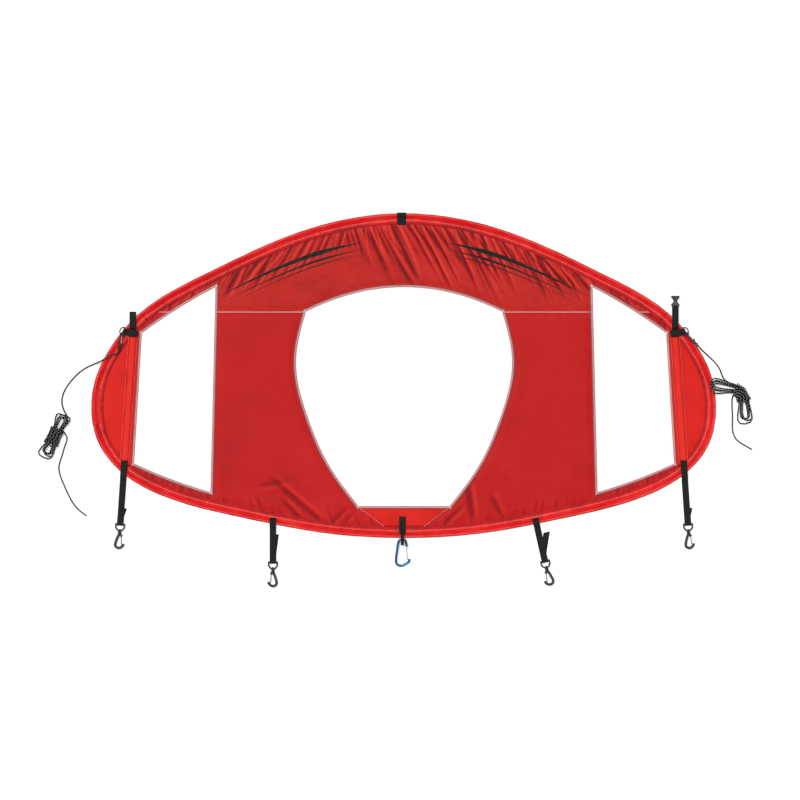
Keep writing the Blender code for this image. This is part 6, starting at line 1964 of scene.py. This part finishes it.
@dataclass
class Hank:
    """A rein wound into long loops in two layers and wrapped round their waist, as the frame has it."""

    place: tuple[float, float]
    heading: float
    half: float
    start: float
    wraps: float
    bend: float
    lift: float
    hand: int = -1
    cord: float = 0.0015
    points_a_loop: int = 24
    layer: float = 0.00178
    turns: int = 2
    waist: float = 0.0097
    pitch: float = 0.0038
    end: float = 0.028
    blunt: float = 0.75
    late: float = 0.4
    wrap_radius: float = 0.0055
    wrap_half: float = 0.023
    wrap_pitch: float = 0.0039
    wrap_start: float = 0.35
    bend_radius: float = 0.03
    lift_start: float = 0.03
    # The cord's way up to its wraps: how far before them, across and above, in cords and half widths
    climb: tuple = ((1.1, 1.06, -0.74), (1.7, 0.7, 0.25), (1.3, 0.1, 0.1), (0.55, -0.5, 0.0))
    # How each free lobe differs: longer by, wider by a share, shifted aside by and raised by
    lobes: dict = field(default_factory=lambda: {
        1: (0.008, 0.25, -0.003, 0.0), 2: (0.005, 0.2, -0.003, 0.0), 3: (0.0, 0.0, -0.0015, 0.0),
        4: (-0.002, 0.0, -0.0015, 0.0), 5: (-0.003, 0.0, -0.0015, 0.0), 6: (-0.004, 0.0, 0.005, 0.0),
        7: (-0.004, 0.0, 0.005, 0.0017), 8: (0.006, 0.12, 0.005, 0.0), 9: (0.002, 0.1, 0.005, 0.0017),
    })

    def base(self, angle: float) -> np.ndarray:
        """Returns a point of the outermost loop at an angle."""
        share = math.cos(angle)
        width = self.waist + (self.end - self.waist) * share * share
        return np.array([
            self.half * share, math.copysign(width * abs(math.sin(angle)) ** self.blunt, math.sin(angle))
        ])

    def loop_point(self, angle: float, lanes: float, height: float) -> np.ndarray:
        """Returns a point of the loops, so many lanes in and at a height."""
        near = math.pi / self.points_a_loop
        run = self.base(angle + near) - self.base(angle - near)
        inward = np.array([-run[1], run[0]]) / np.linalg.norm(run)
        return np.array([*(self.base(angle) + inward * lanes * self.pitch), height])

    def lane(self, turns: float) -> float:
        """Returns how many lanes in the cord runs, so many turns past the first waist."""
        whole, part = divmod(max(turns, 0.0), 1.0)
        if turns < self.turns:
            early = self.start / (2 * math.pi) + 0.25
            return whole + min(1.0, max(0.0, (part - 0.5) / early))
        if turns <= self.turns + 0.5:
            return self.turns
        return 2 * self.turns - whole - min(1.0, max(0.0, (part - 1 + self.late) / self.late))

    def loops(self) -> list[np.ndarray]:
        """Returns the two layers of loops, up to the first wrap."""
        quarter, step = math.pi / 2, 2 * math.pi / self.points_a_loop
        last = quarter + 4 * math.pi * self.turns + math.asin(self.wrap_half / self.half)
        angles = [self.start]
        while angles[-1] < last - step:
            angles.append(step * (math.floor(angles[-1] / step + 0.01) + 1))
        out = []
        for angle in angles + [last]:
            turns = (angle - quarter) / (2 * math.pi)
            lanes = 0 if turns >= 2 * self.turns else self.lane(turns)
            climb = min(1.0, max(0.0, 2 * (turns - self.turns)))
            climb = climb * climb * (3 - 2 * climb)
            point = self.loop_point(angle, lanes, self.layer * (2 * climb - 1))
            out.append(self.freed(point, round(angle / math.pi)))
        return out

    def freed(self, point: np.ndarray, lobe: int) -> np.ndarray:
        """Moves a point of the loops past the wraps, so that its lobe lies free of the others."""
        longer, wider, aside, higher = self.lobes.get(lobe, (0.0, 0.0, 0.0, 0.0))
        share = float(smoothed(np.abs(point[0]), self.wrap_half, 0.95 * self.half))
        along = point[0] + math.copysign(longer * share, point[0])
        return np.array([along, point[1] * (1 + wider * share) + aside * share, point[2] + higher * share])

    def half_at(self, u: float) -> float:
        """Returns the outermost strand's distance from the middle."""
        step = 2 * math.pi / self.points_a_loop
        angle = math.acos(max(-1.0, min(1.0, u / self.half)))
        near = [self.base(step * n) for n in (math.floor(angle / step), math.floor(angle / step) + 1)]
        return float(np.interp(u, [near[1][0], near[0][0]], [near[1][1], near[0][1]]))

    def wrap_point(self, turns: float) -> np.ndarray:
        """Returns a point of the wraps, counted in turns from the first."""
        u = turns * self.wrap_pitch - self.wrap_half
        half, radius = self.half_at(u), self.wrap_radius
        straight, arc = 2 * half, math.pi * radius
        spot = (turns + self.wrap_start) % 1.0 * 2 * (straight + arc)
        if spot < straight:
            return np.array([u, half - spot, radius])
        if spot < straight + arc:
            angle = (spot - straight) / radius
            return np.array([u, -half - radius * math.sin(angle), radius * math.cos(angle)])
        if spot < 2 * straight + arc:
            return np.array([u, spot - straight - arc - half, -radius])
        angle = (spot - 2 * straight - arc) / radius
        return np.array([u, half + radius * math.sin(angle), -radius * math.cos(angle)])

    def bridge(self) -> list[np.ndarray]:
        """Returns the cord's way from the last strand up and over to the first wrap."""
        side, cord = self.half_at(-self.wrap_half), 2 * self.cord
        control = [self.loops()[-1]]
        for before, across, above in self.climb:
            spot = (-self.wrap_half - before * cord, across * side, self.wrap_radius + above * cord)
            control.append(np.array(spot))
        return list(spline(np.array(control + [self.wrap_point(0.0)]), 3)[1:-1])

    def bent(self, u: float, v: float) -> np.ndarray:
        """Returns the place in the plane of a point of the hank's bent spine."""
        limit = self.bend_radius * self.bend / 2
        turn = max(-limit, min(limit, u)) / self.bend_radius
        spine = self.bend_radius * np.array([math.sin(turn), 1 - math.cos(turn)])
        along = np.array([math.cos(turn), math.sin(turn)])
        return spine + along * (u - turn * self.bend_radius) + np.array([-along[1], along[0]]) * v

    def laid(self, local: np.ndarray) -> np.ndarray:
        """Places a local point: bent between the strands' stations, lifted and laid down."""
        u, v, w = local
        v *= self.hand
        step = 2 * math.pi / self.points_a_loop
        if abs(u) < self.half:
            station = math.floor(math.acos(u / self.half) / step)
            ends = [self.half * math.cos(step * (station + n)) for n in (0, 1)]
            share = (u - ends[0]) / (ends[1] - ends[0])
            spot = self.bent(ends[0], v) * (1 - share) + self.bent(ends[1], v) * share
        else:
            spot = self.bent(u, v)
        rise = max(0.0, min(1.0, (u - self.lift_start) / (self.half - 2 * self.pitch - self.lift_start)))
        height = self.wrap_radius + self.cord + w + self.lift * rise
        turn = Matrix.Rotation(self.heading, 2)
        return np.array([*(np.array(turn) @ spot + np.array(self.place)), height])

    def points(self) -> np.ndarray:
        """Returns the whole hank's line."""
        count = round(self.wraps * self.points_a_loop) + 1
        wraps = [self.wrap_point(n / self.points_a_loop) for n in range(count)]
        return np.array([self.laid(p) for p in self.loops() + self.bridge() + wraps])


@dataclass
class Rein:
    """One rein: a braided cord from its clip over the rim to its hank and its free tail."""

    name: str
    side: int
    hank: Hank
    heading: float
    link: float
    lead: tuple
    tail: tuple
    # The height of the free tail's middle, on the floor
    tail_level: float = 0.0016
    roll: float = math.radians(48.0)
    pitch: float = math.radians(8.0)
    ring_half: float = 0.0095
    ring_depth: float = 0.012
    ring_leg: float = 0.0034
    ring_tilt: float = math.radians(30.0)
    clip_rod: float = 0.0016
    clip_eye_drop: float = 0.0385
    clip_eye_radius: float = 0.0034
    slack: float = 0.0014
    step: float = 0.003
    samples: int = 12
    least: float = 0.0005
    sides: int = 10
    # How far the braid's strands stand out of the cord's round
    nap: float = 0.00038

    def clip_matrix(self, web: Webbing) -> tuple[Matrix, Vector]:
        """Returns the rein clip's frame and the direction in which it hangs."""
        frame, fold, height = web.ring_seat(self.side)
        arch = self.ring_depth - self.ring_leg
        link = Vector((
            self.side * self.ring_half * math.sin(self.link), self.ring_leg + arch * math.cos(self.link), 0
        ))
        tilt = Matrix.Rotation(self.ring_tilt, 4, "X")
        at = frame @ Matrix.Translation((0, 0, height + fold)) @ tilt @ link
        turn = Matrix.Rotation(self.heading + math.pi / 2, 4, "Z") @ Matrix.Rotation(self.pitch, 4, "X")
        turn = turn @ Matrix.Rotation(self.side * self.roll, 4, "Y")
        seat = Vector((0, self.clip_rod + web.ring_wire + self.slack, 0))
        matrix = Matrix.Translation(at) @ turn @ Matrix.Translation(seat)
        return matrix, (turn @ Vector((0, -1, 0))).normalized()

    def even(self, route: list, seated: bool) -> np.ndarray:
        """Returns evenly spaced points of the smooth curve through a route, its ends kept straight."""
        fine = spline(np.array([tuple(p) for p in route]), self.samples)
        middle = fine[self.samples : len(fine) - self.samples if seated else len(fine)]
        along = ways_along(middle)
        points = at_ways(np.linspace(0, along[-1], round(along[-1] / self.step) + 1), along, middle)
        points[:, 2] = np.maximum(points[:, 2], self.hank.cord)
        parts = [fine[:1], points] + ([fine[-1:]] if seated else [])
        return np.vstack(parts)

    def line(self, web: Webbing) -> np.ndarray:
        """Returns the cord's whole line, from its clip's eye to its cut end."""
        matrix, down = self.clip_matrix(web)
        cord = self.hank.cord
        drop = self.clip_eye_drop + self.clip_eye_radius + self.clip_rod + LAYERS.gap
        out = matrix @ Vector((0, -drop, 0))
        loops = self.hank.points()
        onward = (loops[1] - loops[0]) / np.linalg.norm(loops[1] - loops[0])
        lead = [tuple(out), tuple(out + down * 2 * cord), *self.lead]
        lead += [tuple(loops[0] - onward * (2 * cord + LAYERS.gap)), tuple(loops[0] - onward * LAYERS.gap)]
        onward = (loops[-1] - loops[-2]) / np.linalg.norm(loops[-1] - loops[-2])
        tail = [tuple(loops[-1] + onward * LAYERS.gap), tuple(loops[-1] + onward * (2 * cord + LAYERS.gap))]
        tail += [(*spot, self.tail_level) for spot in self.tail]
        return np.vstack([self.even(lead, True), loops, self.even(tail, False)])

    def build(self, web: Webbing) -> None:
        line = self.line(web)
        keep = np.concatenate([[True], np.linalg.norm(np.diff(line, axis=0), axis=1) > self.least])
        line = line[keep]
        run = np.gradient(line, axis=0)
        run /= np.linalg.norm(run, axis=1, keepdims=True)
        side = np.cross(run[0], [0, 0, 1.0])
        side /= np.linalg.norm(side)
        rings, angles = [], 2 * math.pi * np.arange(self.sides) / self.sides
        for point, along in zip(line, run):
            side = side - along * (side @ along)
            side /= np.linalg.norm(side)
            up = np.cross(side, along)
            ring = np.cos(angles)[:, None] * side + np.sin(angles)[:, None] * up
            rings.append(point + (self.hank.cord + self.nap) * ring)
        count, rows = self.sides, len(line)
        obj = piece(f"rein_{self.name}_cord", np.vstack(rings), tube_faces(rows, count), BLACK_BRAID)
        ways = ways_along(line)
        layer = obj.data.uv_layers.new(name="Braid")
        spots = np.zeros((len(obj.data.loops), 2))
        for polygon in obj.data.polygons[: (rows - 1) * count]:
            row, column = divmod(polygon.index, count)
            corners = ((column, row), (column + 1, row), (column + 1, row + 1), (column, row + 1))
            for loop, (turn, way) in zip(polygon.loop_indices, corners):
                spots[loop] = turn / count, ways[way]
        layer.data.foreach_set("uv", spots.astype(np.float32).ravel())
        outward(obj.data)
        nodes = [f"rein_{self.name}_{part}" for part in ("lead", "hank", "tail")]
        dress(obj, "cord", *nodes)
        log.info("rein %s: %.3f m of cord", self.name, ways[-1])


@dataclass
class Studio:
    """A pale floor, soft light and a long lens straight above, as a catalogue picture has."""

    center: tuple[float, float] = (-0.0098, 0.3170)
    span: float = 1.952
    camera_height: float = 11.0
    sensor: float = 36.0
    floor_size: float = 30.0
    floor_level: float = -0.0006
    # How bright the floor looks past its own light, so that it is white as in the photograph
    floor_glow: float = 0.35
    surround: float = 0.42
    key_power: float = 2.05
    key_spread: float = math.radians(25)
    key_run: tuple[float, float, float] = (0.24, -0.24, -1.0)

    def build_camera(self) -> None:
        """Hangs the camera over the middle of the photograph's frame."""
        data = bpy.data.cameras.new("camera")
        data.type = "PERSP"
        data.sensor_width = self.sensor
        data.lens = self.sensor * self.camera_height / self.span
        data.clip_end = 60.0
        camera = shown("camera", data)
        camera.location = (*self.center, self.camera_height)
        bpy.context.scene.camera = camera

    def build_floor(self) -> None:
        """Lays the floor: white to the camera, with the sail's own soft shadow kept."""
        half = self.floor_size / 2
        corners = np.array([[-half, -half], [half, -half], [half, half], [-half, half]]) + self.center
        mesh = bpy.data.meshes.new("floor")
        mesh.from_pydata([(x, y, self.floor_level) for x, y in corners], [], [(0, 1, 2, 3)])
        material = bpy.data.materials.new("floor_card")
        material.use_nodes = True
        tree = material.node_tree
        tree.nodes.clear()
        place = put(tree, "ShaderNodeTexCoord").outputs["Object"]
        grain = put(tree, "ShaderNodeTexNoise", {"Vector": place, "Scale": 400.0, "Detail": 3.0})
        tone = put(tree, "ShaderNodeValToRGB", {0: grain}, ((0, "#EDEDED"), (1, "#F6F6F6")))
        card = put(tree, "ShaderNodeBsdfDiffuse", {"Color": tone})
        path = put(tree, "ShaderNodeLightPath").outputs
        links = {0: path["Is Camera Ray"], 1: path["Is Glossy Ray"]}
        seen = put(tree, "ShaderNodeMath", links, operation="MAXIMUM")
        links = {0: seen, 1: path["Is Transmission Ray"]}
        seen = put(tree, "ShaderNodeMath", links, operation="MAXIMUM")
        white = put(tree, "ShaderNodeEmission", {"Color": (1, 1, 1, 1), "Strength": 1.0})
        share = put(tree, "ShaderNodeMath", {0: seen, 1: self.floor_glow}, operation="MULTIPLY")
        black = put(tree, "ShaderNodeEmission", {"Color": (0, 0, 0, 1), "Strength": 0.0})
        glow = put(tree, "ShaderNodeMixShader", {0: share, 1: black, 2: white})
        both = put(tree, "ShaderNodeAddShader", {0: card, 1: glow})
        put(tree, "ShaderNodeOutputMaterial", {0: both})
        mesh.materials.append(material)
        shown("floor", mesh)

    def build_light(self) -> None:
        """Sets one broad soft key from the upper left and an even surround."""
        world = bpy.data.worlds.new("surround")
        world.use_nodes = True
        tree = world.node_tree
        plug(tree, tree.nodes["Background"], {0: (1.0, 1.0, 1.0, 1.0), 1: self.surround})
        bpy.context.scene.world = world
        sun = bpy.data.lights.new("key", "SUN")
        sun.energy = self.key_power
        sun.angle = self.key_spread
        shown("key", sun).rotation_euler = Vector(self.key_run).to_track_quat("-Z", "Y").to_euler()

    def build(self) -> None:
        """Builds the whole studio."""
        self.build_camera()
        self.build_floor()
        self.build_light()
        bpy.context.scene.view_settings.view_transform = "Standard"


def main() -> None:
    """Loads the frame and builds the sail's looks round it."""
    logging.basicConfig(level=logging.INFO, format="%(name)s %(message)s")
    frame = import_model()
    Studio().build()
    hoop = HoopLine()
    web = Webbing(hoop)
    reins = [
        Rein(
            "left", SIDES["left"], heading=math.radians(-101.0), link=math.radians(76.0),
            hank=Hank(
                place=(-0.8518, 0.2303), heading=math.radians(65.6), half=0.052, start=math.radians(25.0),
                wraps=10.42, bend=0.0, lift=0.0,
            ),
            lead=(
                (-0.7115, 0.4265, 0.0092), (-0.7359, 0.4135, 0.0097), (-0.7637, 0.4014, 0.0032),
                (-0.7906, 0.3853, 0.0016), (-0.8101, 0.3658, 0.0016), (-0.8318, 0.3304, 0.0018),
                (-0.8345, 0.3096, 0.0024), (-0.8277, 0.288, 0.004),
            ),
            tail=(
                (-0.8262, 0.2335), (-0.8225, 0.2255), (-0.8262, 0.2085), (-0.8355, 0.1779), (-0.8418, 0.1559),
                (-0.8328, 0.1169), (-0.8179, 0.0839), (-0.8003, 0.0559), (-0.7744, 0.0339),
            ),
        ),
        Rein(
            "right", SIDES["right"], heading=math.radians(-46.1), link=math.radians(60.0),
            hank=Hank(
                place=(0.8198, 0.3365), heading=math.radians(134.4), half=0.072, start=math.radians(74.0),
                wraps=10.0, bend=math.radians(75.3), lift=0.0075, wrap_pitch=0.00375,
            ),
            lead=(
                (0.7286, 0.4365, 0.0098), (0.7527, 0.4146, 0.0032), (0.771, 0.39, 0.0018),
                (0.781, 0.368, 0.003),
            ),
            tail=((0.8013, 0.273), (0.8028, 0.2364), (0.8101, 0.2218), (0.8296, 0.2072), (0.8491, 0.1959)),
        ),
    ]
    for rein in reins:
        rein.build(web)
    RimSleeve(hoop).build()
    SailCloth(hoop).build()
    web.build()
    Hardware(frame).build()


if __name__ == "__main__":
    main()
